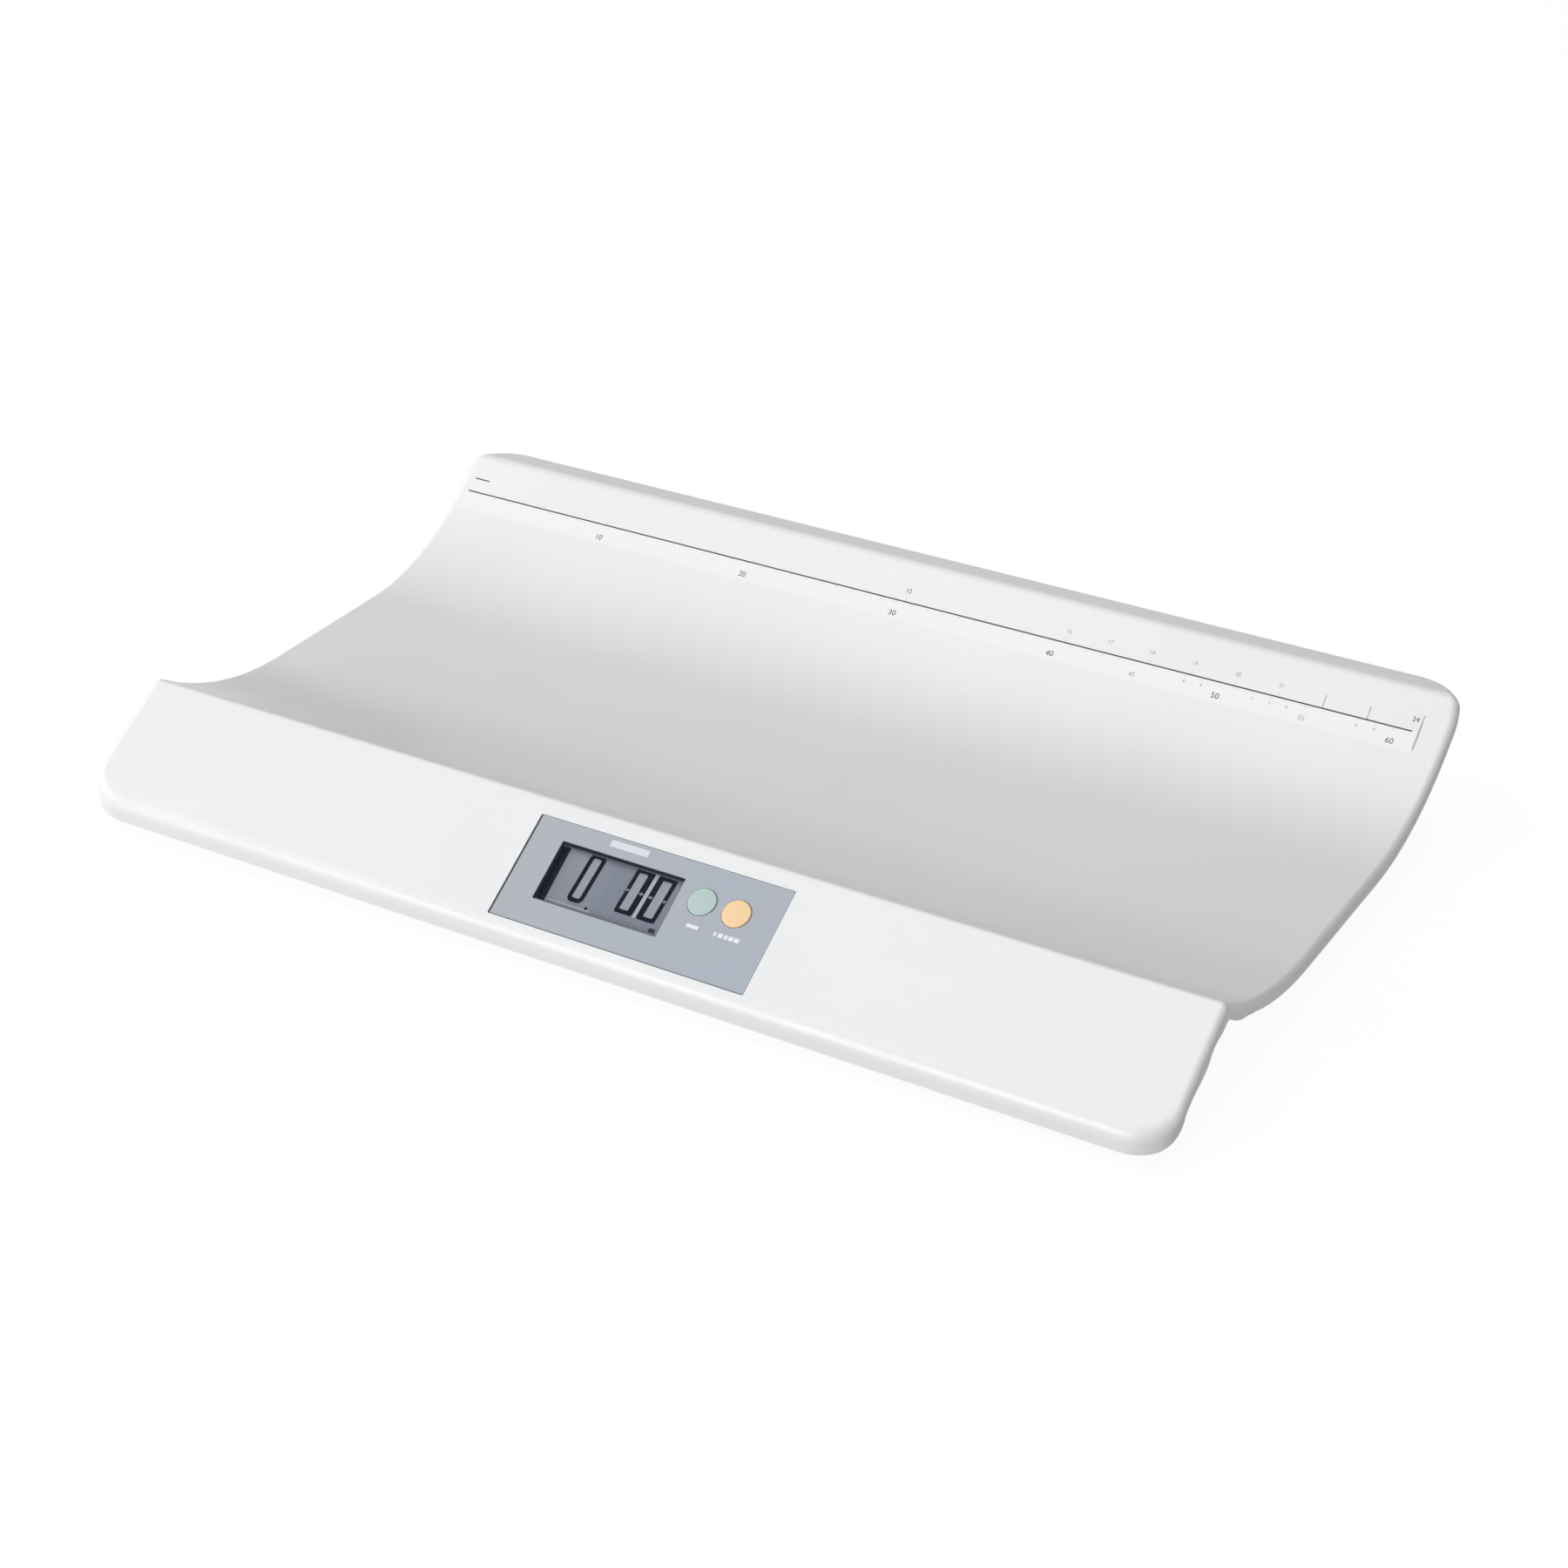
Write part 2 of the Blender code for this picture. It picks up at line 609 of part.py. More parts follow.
def rim_bottom(y, section):
    """Height of the rim's lower edge at y: even along the trough, wavy at the crest, low at the front."""
    top = np.interp(y, section[:, 0], section[:, 1])
    slope = np.interp(y, section[1:, 0], np.diff(section[:, 1]) / np.diff(section[:, 0]))
    places, depths = np.array(RIM_LINE).T
    behind = y > MID_Y + places[-1]
    depth = np.where(behind, RIM_DEPTH * np.sqrt(1 + slope**2), np.interp(y - MID_Y, places, depths))
    corner_start = ROLL_START_Y + FRONT_CORNER_DEPTH
    share = np.clip((corner_start - y) / (corner_start - FRONT_Y), 0, 1)
    return (top - depth) * (1 - share) + APRON_EDGE_HEIGHT * share


def tray_rows(section):
    """The y of each row of the top face: the section's points and those that the corners and rim need."""
    closest = SIDE_ROLL / 8
    corner = 1 - np.sin(QUARTER * np.arange(CORNER_STEPS) / CORNER_STEPS)
    wanted = np.concatenate([
        ROLL_START_Y + FRONT_CORNER_DEPTH * corner,
        BACK_Y - LIP_ROLL - BACK_CORNER * corner,
        [MID_Y + place for place, depth in RIM_LINE],
    ])
    rows = list(section[:, 0])
    rows += [y for y in wanted if np.abs(section[:, 0] - y).min() > closest]
    return np.array(sorted(rows))


def tray_surface(section):
    """The tray's outside as one open surface: the top face in rows, its edge rolled over into a skirt."""
    rows = tray_rows(section)
    half = half_length(rows)
    plan = np.concatenate([np.stack([half, rows], 1), np.stack([-half, rows], 1)[::-1]])
    top = np.interp(plan[:, 1], section[:, 0], section[:, 1])
    edge = np.roll(plan, -1, 0) - plan
    edge /= np.linalg.norm(edge, axis=1)[:, None]
    square = np.stack([edge[:, 1], -edge[:, 0]], 1)
    outward = square + np.roll(square, 1, 0)
    outward /= np.linalg.norm(outward, axis=1)[:, None]
    mitre = 1 / np.sum(outward * square, axis=1)

    slopes = np.gradient(section[:, 1], section[:, 0])
    rise = np.interp(plan[:, 1], section[:, 0], slopes) * outward[:, 1]
    start = np.arctan(-rise)
    front, back = np.clip(-outward[:, 1], 0, 1), np.clip(outward[:, 1], 0, 1)
    roll = front * FRONT_ROLL + back * LIP_ROLL + (1 - front - back) * SIDE_ROLL

    loops = [np.column_stack([plan, top])]
    for k in range(1, ROLL_STEPS + 1):
        angle = start + (QUARTER - start) * k / ROLL_STEPS
        out = roll * (np.sin(angle) - np.sin(start)) * mitre
        down = roll * (np.cos(start) - np.cos(angle))
        loops.append(np.column_stack([plan + outward * out[:, None], top - down]))
    skirt = loops[-1].copy()
    skirt[:, 2] = np.minimum(rim_bottom(skirt[:, 1], section), skirt[:, 2] - RIM_LEAST_SKIRT)
    loops.append(skirt)

    count = len(plan)
    ring = np.arange(count)
    following = np.roll(ring, -1)
    faces = [[k, k + 1, count - 2 - k, count - 1 - k] for k in range(len(rows) - 1)]
    for k in range(len(loops) - 1):
        inner, outer = k * count, (k + 1) * count
        faces += np.stack([inner + ring, outer + ring, outer + following, inner + following], 1).tolist()
    mesh = bpy.data.meshes.new("tray_shell")
    mesh.from_pydata(np.concatenate(loops).tolist(), [], faces)
    return mesh


def make_tray(shop, section, material):
    """The tray shell with its bosses, end ribs, panel recess, openings and pilot holes."""
    tray = shop.add("tray_shell", tray_surface(section), material)
    wall = tray.modifiers.new("wall", "SOLIDIFY")
    wall.thickness = TRAY_WALL
    wall.offset = -1
    wall.use_even_offset = True

    over_mid_wall = space_over("room_over_mid_wall", section, TRAY_WALL / 2)
    bosses = pins("screw_bosses", SHELL_SCREW_PLACES, BOSS_RADIUS, BOSS_BOTTOM, LIP_HEIGHT, MEDIUM)
    bosses = shop.add(bosses.name, bosses)
    cut(bosses, shop.add(over_mid_wall.name, over_mid_wall))

    rib_top, rib_low = lowered(section, TRAY_WALL / 2), lowered(section, RIM_DEPTH)
    in_trough = (section[:, 0] > MID_Y + FRONT_ROLL) & (section[:, 0] < BACK_Y - LIP_WIDTH - LIP_SWEEP)
    every_other = np.flatnonzero(in_trough)[::2]
    band = [*rib_top[every_other].tolist(), *rib_low[every_other][::-1].tolist()]
    ribs = []
    for sign in (-1, 1):
        for k in range(2):
            place = sign * (TRAY_LENGTH / 2 - END_RIB_INSET - k * END_RIB_PITCH)
            edges = place - END_RIB_THICKNESS / 2, place + END_RIB_THICKNESS / 2
            rib = beam(f"end_rib_{len(ribs) + 1}", band, *edges)
            ribs.append(shop.add(rib.name, rib))

    board_bosses = shop.add(
        "board_bosses",
        pins("board_bosses", BOARD_SCREW_PLACES, BOARD_BOSS_RADIUS, BOARD_TOP + GAP, -TRAY_WALL / 2, MEDIUM),
        parent=shop.panel,
    )
    join(tray, bosses, *ribs, board_bosses)

    recess_size = (PANEL_LENGTH + 2 * GAP, PANEL_WIDTH + 2 * GAP)
    recess_outline = centred_rectangle(recess_size, PANEL_CORNER + GAP, steps=2)
    recess = mesh_from("panel_recess", slab(recess_outline, -PANEL_RECESS, OVERRUN))
    opening_size = tuple(size + 2 * GAP for size in COLLAR_SIZE)
    opening_outline = centred_rectangle(opening_size, WINDOW_CORNER + COLLAR_LAP + GAP, WINDOW_PLACE, 3)
    below_wall = -TRAY_WALL - OVERRUN
    opening = mesh_from("window_opening", slab(opening_outline, below_wall, OVERRUN))
    places = GREEN_PLACE, ORANGE_PLACE
    holes = pins("button_holes", places, BUTTON_RADIUS + GAP, below_wall, OVERRUN, SHOWN)
    board_pilots = pins(
        "board_pilots", BOARD_SCREW_PLACES, BOARD_SCREW_RADIUS + GAP,
        BOARD_TOP - OVERRUN, -TRAY_WALL - 2 * GAP, COARSE,
    )
    panel_rooms = recess, opening, holes, board_pilots
    cut(tray, *[shop.add(mesh.name, mesh, parent=shop.panel) for mesh in panel_rooms])
    pilots = pins(
        "screw_pilots", SHELL_SCREW_PLACES, SCREW_RADIUS + GAP,
        BOSS_BOTTOM - OVERRUN, BOSS_BOTTOM + BOSS_PILOT_DEPTH, COARSE,
    )
    cut(tray, shop.add(pilots.name, pilots))


# Lower housing


def base_loops(inset, top):
    """Outlines of the housing from its floor up: a rolled lower edge, then walls that lean out."""
    angles = QUARTER * np.arange(ROLL_STEPS + 1) / ROLL_STEPS
    levels = [
        (BASE_ROLL * (1 - math.sin(a)), BASE_CLEARANCE + BASE_ROLL * (1 - math.cos(a))) for a in angles
    ]
    levels = [(BASE_DRAFT + step + inset, max(z, BASE_CLEARANCE + inset)) for step, z in levels]
    levels = [level for k, level in enumerate(levels) if k == 0 or level[1] > levels[0][1]]
    levels.append((inset, top))
    loops = []
    for step, z in levels:
        low = (-BASE_LENGTH / 2 + step, BASE_FRONT_Y + step)
        high = (BASE_LENGTH / 2 - step, BASE_BACK_Y - step)
        outline = rounded_rectangle(low, high, BASE_CORNER - step, 5)
        loops.append(np.array([(x, y, z) for x, y in outline]))
    return loops


def box_about(place, half, bottom, top):
    """Corners of a square box about a place."""
    return ((place[0] - half, place[1] - half, bottom), (place[0] + half, place[1] + half, top))


def base_ribs(shop, core):
    """Stiffening ribs across and along the housing, with channels at the floor for the leads."""
    low = BASE_FLOOR - BASE_WALL / 2
    half = RIB_THICKNESS / 2
    cross = [
        ((sign * x - half, BASE_FRONT_Y, low), (sign * x + half, BASE_BACK_Y, LIP_HEIGHT))
        for x in CROSS_RIB_PLACES
        for sign in (-1, 1)
    ]
    along = [
        ((-BASE_LENGTH / 2, y - half, low), (BASE_LENGTH / 2, y + half, LIP_HEIGHT))
        for y in LONG_RIB_PLACES
    ]
    channel_top = BASE_FLOOR + CHANNEL_HEIGHT
    channel_half = CHANNEL_WIDTH / 2
    lanes = LEAD_LANE_PLACE - LEAD_LANE_PITCH - channel_half, LEAD_LANE_PLACE + channel_half
    cross_channel = boxes("cross_channel", [
        ((-BASE_LENGTH, lanes[0], BASE_CLEARANCE), (BASE_LENGTH, lanes[1], channel_top)),
    ])
    long_channels = boxes("long_channels", [
        ((x - channel_half, BASE_FRONT_Y, BASE_CLEARANCE), (x + channel_half, BASE_BACK_Y, channel_top))
        for x in (-LEAD_TURN_X, PANEL_OFFSET + HEADER_PLACE[0], LEAD_TURN_X)
    ])
    ribs = []
    kinds = ("cross_ribs", cross, cross_channel), ("long_ribs", along, long_channels)
    for name, corners, channel in kinds:
        rib = shop.add(name, boxes(name, corners))
        cut(rib, shop.add(channel.name, channel))
        combine(rib, "INTERSECT", core)
        ribs.append(rib)
    return ribs


def door_outline(low, high, radius):
    """A rectangle whose two front corners are round and whose two corners at the hinge are square."""
    corners = rounded_rectangle(low, high, radius)
    per_corner = len(corners) // 4
    hinge_side = [(high[0], high[1]), (low[0], high[1])]
    return corners[:per_corner] + hinge_side + corners[-per_corner:]


def make_base(shop, section, material):
    """The lower housing: a tub with seats for the load cells, screw posts, ribs and the battery bay."""
    sky = LIP_HEIGHT
    base = shop.add("base_shell", loft("base_shell", base_loops(0, sky), close_top=False), material)
    wall = base.modifiers.new("wall", "SOLIDIFY")
    wall.thickness = BASE_WALL
    wall.offset = -1
    wall.use_even_offset = True
    core = shop.add("base_core", loft("base_core", base_loops(BASE_WALL / 2, sky + OVERRUN)))
    rooted = BASE_FLOOR - BASE_WALL / 2

    seat_top = CELL_BOTTOM + CELL_THICKNESS + SEAT_LIP
    places = list(FOOT_PLACES.values())
    seats = boxes("cell_seats", [box_about(place, SEAT_HALF, rooted, seat_top) for place in places])
    posts = pins("screw_posts", SHELL_SCREW_PLACES, POST_RADIUS, rooted, POST_TOP, FINE)
    bay_half = [inside / 2 + BAY_WALL for inside in BAY_INSIDE]
    bay = boxes("bay_block", [
        ((-bay_half[0], -bay_half[1], rooted), (bay_half[0], bay_half[1], BAY_TOP + BAY_CEILING)),
    ])
    rim = boxes("bay_rim", [
        ((-BAY_RIM_HALF[0], -BAY_RIM_HALF[1], rooted), (*BAY_RIM_HALF, BASE_FLOOR + DOOR_THICKNESS)),
    ])
    solids = [shop.add(mesh.name, mesh) for mesh in (seats, posts, rim, bay)]
    join(base, *base_ribs(shop, core), *solids)

    pockets = boxes("cell_pockets", [
        box_about(place, CELL_SIZE / 2 + GAP, CELL_BOTTOM - GAP, sky) for place in places
    ])
    wells = boxes("cell_wells", [
        box_about(place, CELL_SIZE / 2 - SEAT_LEDGE, BASE_FLOOR, sky) for place in places
    ])
    foot_holes = pins(
        "foot_holes", [place[:2] for place in places], FOOT_RADIUS + 2 * GAP,
        BASE_CLEARANCE - OVERRUN, BASE_FLOOR + OVERRUN,
    )
    counterbores = pins(
        "screw_counterbores", SHELL_SCREW_PLACES, SCREW_HEAD_RADIUS + 2 * GAP,
        BASE_CLEARANCE - OVERRUN, BASE_CLEARANCE + POST_FLOOR, MEDIUM,
    )
    screw_holes = pins(
        "screw_holes", SHELL_SCREW_PLACES, SCREW_RADIUS + GAP,
        BASE_CLEARANCE - OVERRUN, POST_TOP + OVERRUN, COARSE,
    )
    bay_half = [inside / 2 for inside in BAY_INSIDE]
    door_half = [size / 2 + GAP for size in DOOR_SIZE]
    bay_room = boxes("bay_room", [
        ((-bay_half[0], -bay_half[1], BASE_CLEARANCE - OVERRUN), (bay_half[0], bay_half[1], BAY_TOP)),
    ])
    slot_half = TAB_WIDTH / 2 + GAP
    slot_ends = bay_half[0] - OVERRUN, bay_half[0] + BAY_WALL + OVERRUN
    tab_slots = boxes("tab_slots", [
        (
            (slot_ends[0], battery_row(k) - slot_half, BATTERY_HEIGHT - CONTACT_THICKNESS),
            (slot_ends[1], battery_row(k) + slot_half, BATTERY_HEIGHT + CONTACT_THICKNESS),
        )
        for k in (0, BATTERY_COUNT - 1)
    ])
    notch_half = LEAD_RADIUS + 2 * GAP
    inner_edge = CELL_SIZE / 2 - GAP
    lead_notches = boxes("lead_notches", [
        (
            (min(edges), place.y + GAUGE_PLACE - notch_half, CELL_BOTTOM + CELL_THICKNESS),
            (max(edges), place.y + GAUGE_PLACE + notch_half, sky),
        )
        for place in places
        for edges in [[place.x - math.copysign(reach, place.x) for reach in (inner_edge, 2 * inner_edge)]]
    ])
    outline = door_outline([-half for half in door_half], door_half, DOOR_CORNER + GAP)
    door_ceiling = BASE_CLEARANCE + DOOR_THICKNESS + GAP
    door_room = mesh_from("door_room", slab(outline, BASE_CLEARANCE - OVERRUN, door_ceiling))
    thumb_centre = (0, -door_half[1] - THUMB_RADIUS / 3, BASE_CLEARANCE + THUMB_DEPTH - THUMB_RADIUS)
    thumb = mesh_from("thumb_scoop", lambda bm: bmesh.ops.create_uvsphere(
        bm, u_segments=MEDIUM, v_segments=COARSE, radius=THUMB_RADIUS,
        matrix=Matrix.Translation(thumb_centre),
    ))
    along_x = Matrix.Translation(DOOR_AXIS) @ Matrix.Rotation(QUARTER, 4, "Y")
    barrel_room = mesh_from("barrel_room", rod(DOOR_BARREL + GAP, 2 * door_half[0], along_x, MEDIUM))
    pin_length = 2 * (door_half[0] + DOOR_PIN_LENGTH)
    pin_room = mesh_from("door_pin_room", rod(DOOR_PIN_RADIUS + GAP, pin_length, along_x, COARSE))
    tray_room = space_over("room_for_tray", section, TRAY_WALL + GAP)
    rooms = (
        pockets, wells, foot_holes, counterbores, screw_holes, bay_room, tab_slots, lead_notches, door_room,
        thumb, barrel_room, pin_room, tray_room,
    )
    cut(base, *[shop.add(mesh.name, mesh) for mesh in rooms])


def make_door(shop, material):
    """The battery door, with its origin on the hinge axis: plate, barrel and pins, latch tongue and ribs."""
    front = -DOOR_SIZE[1] / 2 - DOOR_AXIS.y
    bottom = BASE_CLEARANCE - DOOR_AXIS.z
    half = DOOR_SIZE[0] / 2
    outline = door_outline((-half, front), (half, 0), DOOR_CORNER)
    plate = mesh_from("battery_door", slab(outline, bottom, bottom + DOOR_THICKNESS))
    door = shop.add("battery_door", plate, material, place=DOOR_AXIS)
    turn = Matrix.Rotation(QUARTER, 4, "Y")
    barrel = mesh_from("door_barrel", rod(DOOR_BARREL, 2 * half, turn, MEDIUM))
    pin_length = 2 * (half + DOOR_PIN_LENGTH - GAP)
    pin = mesh_from("door_pin", rod(DOOR_PIN_RADIUS, pin_length, turn, COARSE))
    rib_top = bottom + DOOR_THICKNESS + DOOR_RIB_HEIGHT
    rib_reach = BAY_INSIDE[1] / 2 - DOOR_RIB_THICKNESS
    ribs = boxes("door_ribs", [
        (
            (x - DOOR_RIB_THICKNESS / 2, -rib_reach - DOOR_AXIS.y, bottom + DOOR_THICKNESS / 2),
            (x + DOOR_RIB_THICKNESS / 2, rib_reach - DOOR_AXIS.y - 2 * DOOR_BARREL, rib_top),
        )
        for x in np.linspace(-BAY_INSIDE[0] / 4, BAY_INSIDE[0] / 4, DOOR_RIB_COUNT)
    ])
    join(door, *[shop.add(mesh.name, mesh, place=DOOR_AXIS) for mesh in (barrel, pin, ribs)])
    slots = boxes("latch_slots", [
        (
            (sign * LATCH_WIDTH / 2 - LATCH_SLOT / 2, front - OVERRUN, bottom - OVERRUN),
            (sign * LATCH_WIDTH / 2 + LATCH_SLOT / 2, front + LATCH_LENGTH, rib_top + OVERRUN),
        )
        for sign in (-1, 1)
    ])
    cut(door, shop.add(slots.name, slots, place=DOOR_AXIS))


# Feet, load cells and screws


def make_foot(shop, name, place, plastic, rubber):
    """A foot cup that hangs in its hole by a flange, and the rubber pad in its underside."""
    pad_ceiling = PAD_THICKNESS + GAP
    floor_top = pad_ceiling + FOOT_FLOOR
    profile = [
        (0, FOOT_BUTTON_TOP),
        (FOOT_BUTTON_RADIUS - FOOT_EDGE, FOOT_BUTTON_TOP),
        (FOOT_BUTTON_RADIUS, FOOT_BUTTON_TOP - FOOT_EDGE),
        (FOOT_BUTTON_RADIUS, floor_top),
        (FOOT_RADIUS - FOOT_WALL, floor_top),
        (FOOT_RADIUS - FOOT_WALL, FOOT_FLANGE_TOP),
        (FOOT_RADIUS + FOOT_FLANGE_OVERHANG, FOOT_FLANGE_TOP),
        (FOOT_RADIUS + FOOT_FLANGE_OVERHANG, FOOT_FLANGE_BOTTOM),
        (FOOT_RADIUS, FOOT_FLANGE_BOTTOM),
        (FOOT_RADIUS, PAD_STANDOUT + FOOT_EDGE),
        (FOOT_RADIUS - FOOT_EDGE, PAD_STANDOUT),
        (PAD_RADIUS + GAP, PAD_STANDOUT),
        (PAD_RADIUS + GAP, pad_ceiling),
        (0, pad_ceiling),
    ]
    turned(shop, f"foot_cup_{name}", profile, FINE, plastic, place=place)
    pad = [
        (0, PAD_THICKNESS),
        (PAD_RADIUS, PAD_THICKNESS),
        (PAD_RADIUS, FOOT_EDGE / 2),
        (PAD_RADIUS - FOOT_EDGE / 2, 0),
        (0, 0),
    ]
    turned(shop, f"foot_pad_{name}", pad, FINE, rubber, place=place)


def make_load_cell(shop, name, place, material):
    """A steel plate whose tongue, cut free on three sides, bends over the foot, with a gauge at its root."""
    half, top = CELL_SIZE / 2, CELL_BOTTOM + CELL_THICKNESS
    outline = centred_rectangle((CELL_SIZE, CELL_SIZE), CELL_CORNER, steps=3)
    plate = mesh_from("cell_plate", slab(outline, CELL_BOTTOM, top))
    cell = shop.add(f"load_cell_{name}", plate, material, place=place)
    low, high = CELL_BOTTOM - OVERRUN, top + OVERRUN
    inner, outer, end = CELL_TONGUE / 2, CELL_TONGUE / 2 + CELL_SLOT, half - CELL_FRAME
    slot_outline = [
        (-outer, -end), (-inner, -end), (-inner, end - CELL_SLOT), (inner, end - CELL_SLOT),
        (inner, -end), (outer, -end), (outer, end), (-outer, end),
    ]
    slot = mesh_from(f"cell_slot_{name}", slab(slot_outline, low, high))
    gauge = boxes(f"cell_gauge_{name}", [(
        (-GAUGE_SIZE[0] / 2, GAUGE_PLACE - GAUGE_SIZE[1] / 2, top - CELL_THICKNESS / 2),
        (GAUGE_SIZE[0] / 2, GAUGE_PLACE + GAUGE_SIZE[1] / 2, top + GAUGE_SIZE[2]),
    )])
    cut(cell, shop.add(slot.name, slot, place=place))
    join(cell, shop.add(gauge.name, gauge, place=place))


def screw_profile(head_radius, head_height, radius, length):
    """A screw with its head down; the head's upper face is at height zero, and its lower has a socket."""
    socket = head_radius * SOCKET_SHARE
    depth = head_height * SOCKET_SHARE
    return [
        (0, length),
        (radius * POINT_SHARE, length),
        (radius, length - radius),
        (radius, 0),
        (head_radius, 0),
        (head_radius, -head_height * SOCKET_SHARE),
        (head_radius * HEAD_FACE_SHARE, -head_height),
        (socket, -head_height),
        (socket * POINT_SHARE, depth - head_height),
        (0, depth - head_height),
    ]


def make_screws(shop, steel):
    """The screws that hold the shells together, and those that hold the circuit board."""
    seat = BASE_CLEARANCE + POST_FLOOR - GAP
    profile = screw_profile(SCREW_HEAD_RADIUS, SCREW_HEAD_HEIGHT, SCREW_RADIUS, SCREW_LENGTH)
    for k, (x, y) in enumerate(SHELL_SCREW_PLACES):
        turned(shop, f"shell_screw_{k + 1}", profile, COARSE, steel, place=(x, y, seat))
    profile = screw_profile(
        BOARD_SCREW_HEAD_RADIUS, BOARD_SCREW_HEAD_HEIGHT, BOARD_SCREW_RADIUS, BOARD_SCREW_LENGTH
    )
    for k, (x, y) in enumerate(BOARD_SCREW_PLACES):
        place = (x, y, BOARD_BOTTOM - GAP)
        turned(shop, f"board_screw_{k + 1}", profile, COARSE, steel, parent=shop.panel, place=place)


# Batteries and their contacts


def make_batteries(shop, shell, steel):
    """Four cells in series, with springs at their flat ends and contact plates at the bay's ends."""
    half = BATTERY_LENGTH / 2
    shoulder = half - BATTERY_NUB_HEIGHT
    profile = [
        (0, half),
        (BATTERY_NUB_RADIUS, half),
        (BATTERY_NUB_RADIUS, shoulder),
        (BATTERY_RADIUS - BATTERY_EDGE, shoulder),
        (BATTERY_RADIUS, shoulder - BATTERY_EDGE),
        (BATTERY_RADIUS, BATTERY_EDGE - half),
        (BATTERY_RADIUS - BATTERY_EDGE, -half),
        (0, -half),
    ]
    inner_face = BAY_INSIDE[0] / 2 - GAP - CONTACT_THICKNESS
    for k in range(BATTERY_COUNT):
        side = 1 if k % 2 else -1
        place = (side * (inner_face - GAP - half), battery_row(k), BATTERY_HEIGHT)
        turn = (0, side * QUARTER, 0)
        turned(shop, f"battery_cell_{k + 1}", profile, MEDIUM, shell, place=place, turn=turn)
        make_spring(shop, f"contact_spring_{k + 1}", -side, inner_face - GAP, battery_row(k), steel)

    contacts = {
        "left_front": (-1, 0, 1), "left_back": (-1, 2, 3),
        "right_front": (1, 0, 0), "right_middle": (1, 1, 2), "right_back": (1, 3, 3),
    }
    for name, (side, first, last) in contacts.items():
        middle = (battery_row(first) + battery_row(last)) / 2
        half_width = ((last - first + 1) * BATTERY_PITCH - CONTACT_MARGIN) / 2
        faces = sorted((side * inner_face, side * (inner_face + CONTACT_THICKNESS)))
        corners = [(
            (faces[0], middle - half_width, BATTERY_HEIGHT - CONTACT_HEIGHT / 2),
            (faces[1], middle + half_width, BATTERY_HEIGHT + CONTACT_HEIGHT / 2),
        )]
        plate = shop.add(f"contact_{name}", boxes(f"contact_{name}", corners), steel)
        if first == last:
            tab_half = Vector((TAB_WIDTH, CONTACT_THICKNESS)) / 2
            tab = boxes(f"tab_{name}", [(
                (faces[0] + tab_half.y, middle - tab_half.x, BATTERY_HEIGHT - tab_half.y),
                (TAB_END, middle + tab_half.x, BATTERY_HEIGHT + tab_half.y),
            )])
            join(plate, shop.add(tab.name, tab))


def make_spring(shop, name, side, outer, y, steel):
    """A spring from the contact plate at outer to the flat end of its cell, wound along X."""
    count = SPRING_TURNS * SPRING_POINTS + 1
    angles = FULL_TURN * SPRING_TURNS * np.linspace(0, 1, count)
    along = outer - SPRING_WIRE - (SPRING_LENGTH - 2 * SPRING_WIRE) * np.linspace(0, 1, count)
    round_y, round_z = SPRING_RADIUS * np.cos(angles), SPRING_RADIUS * np.sin(angles)
    points = np.column_stack([side * along, y + round_y, BATTERY_HEIGHT + round_z])
    wire(shop, name, points, SPRING_WIRE, steel)
    gap = (SPRING_LENGTH - 2 * SPRING_WIRE) / SPRING_TURNS - 2 * SPRING_WIRE
    print(f"{name}: least gap between its turns {1000 * gap:.2f} mm")


def wire(shop, name, points, radius, material):
    """A round wire along the points, with closed ends."""
    curve = bpy.data.curves.new(name, "CURVE")
    curve.dimensions = "3D"
    curve.bevel_depth = radius
    curve.bevel_resolution = 1
    curve.use_fill_caps = True
    spline = curve.splines.new("POLY")
    spline.points.add(len(points) - 1)
    spline.points.foreach_set("co", np.column_stack([points, np.ones(len(points))]).ravel())
    return shop.add(name, curve, material)


# Control panel


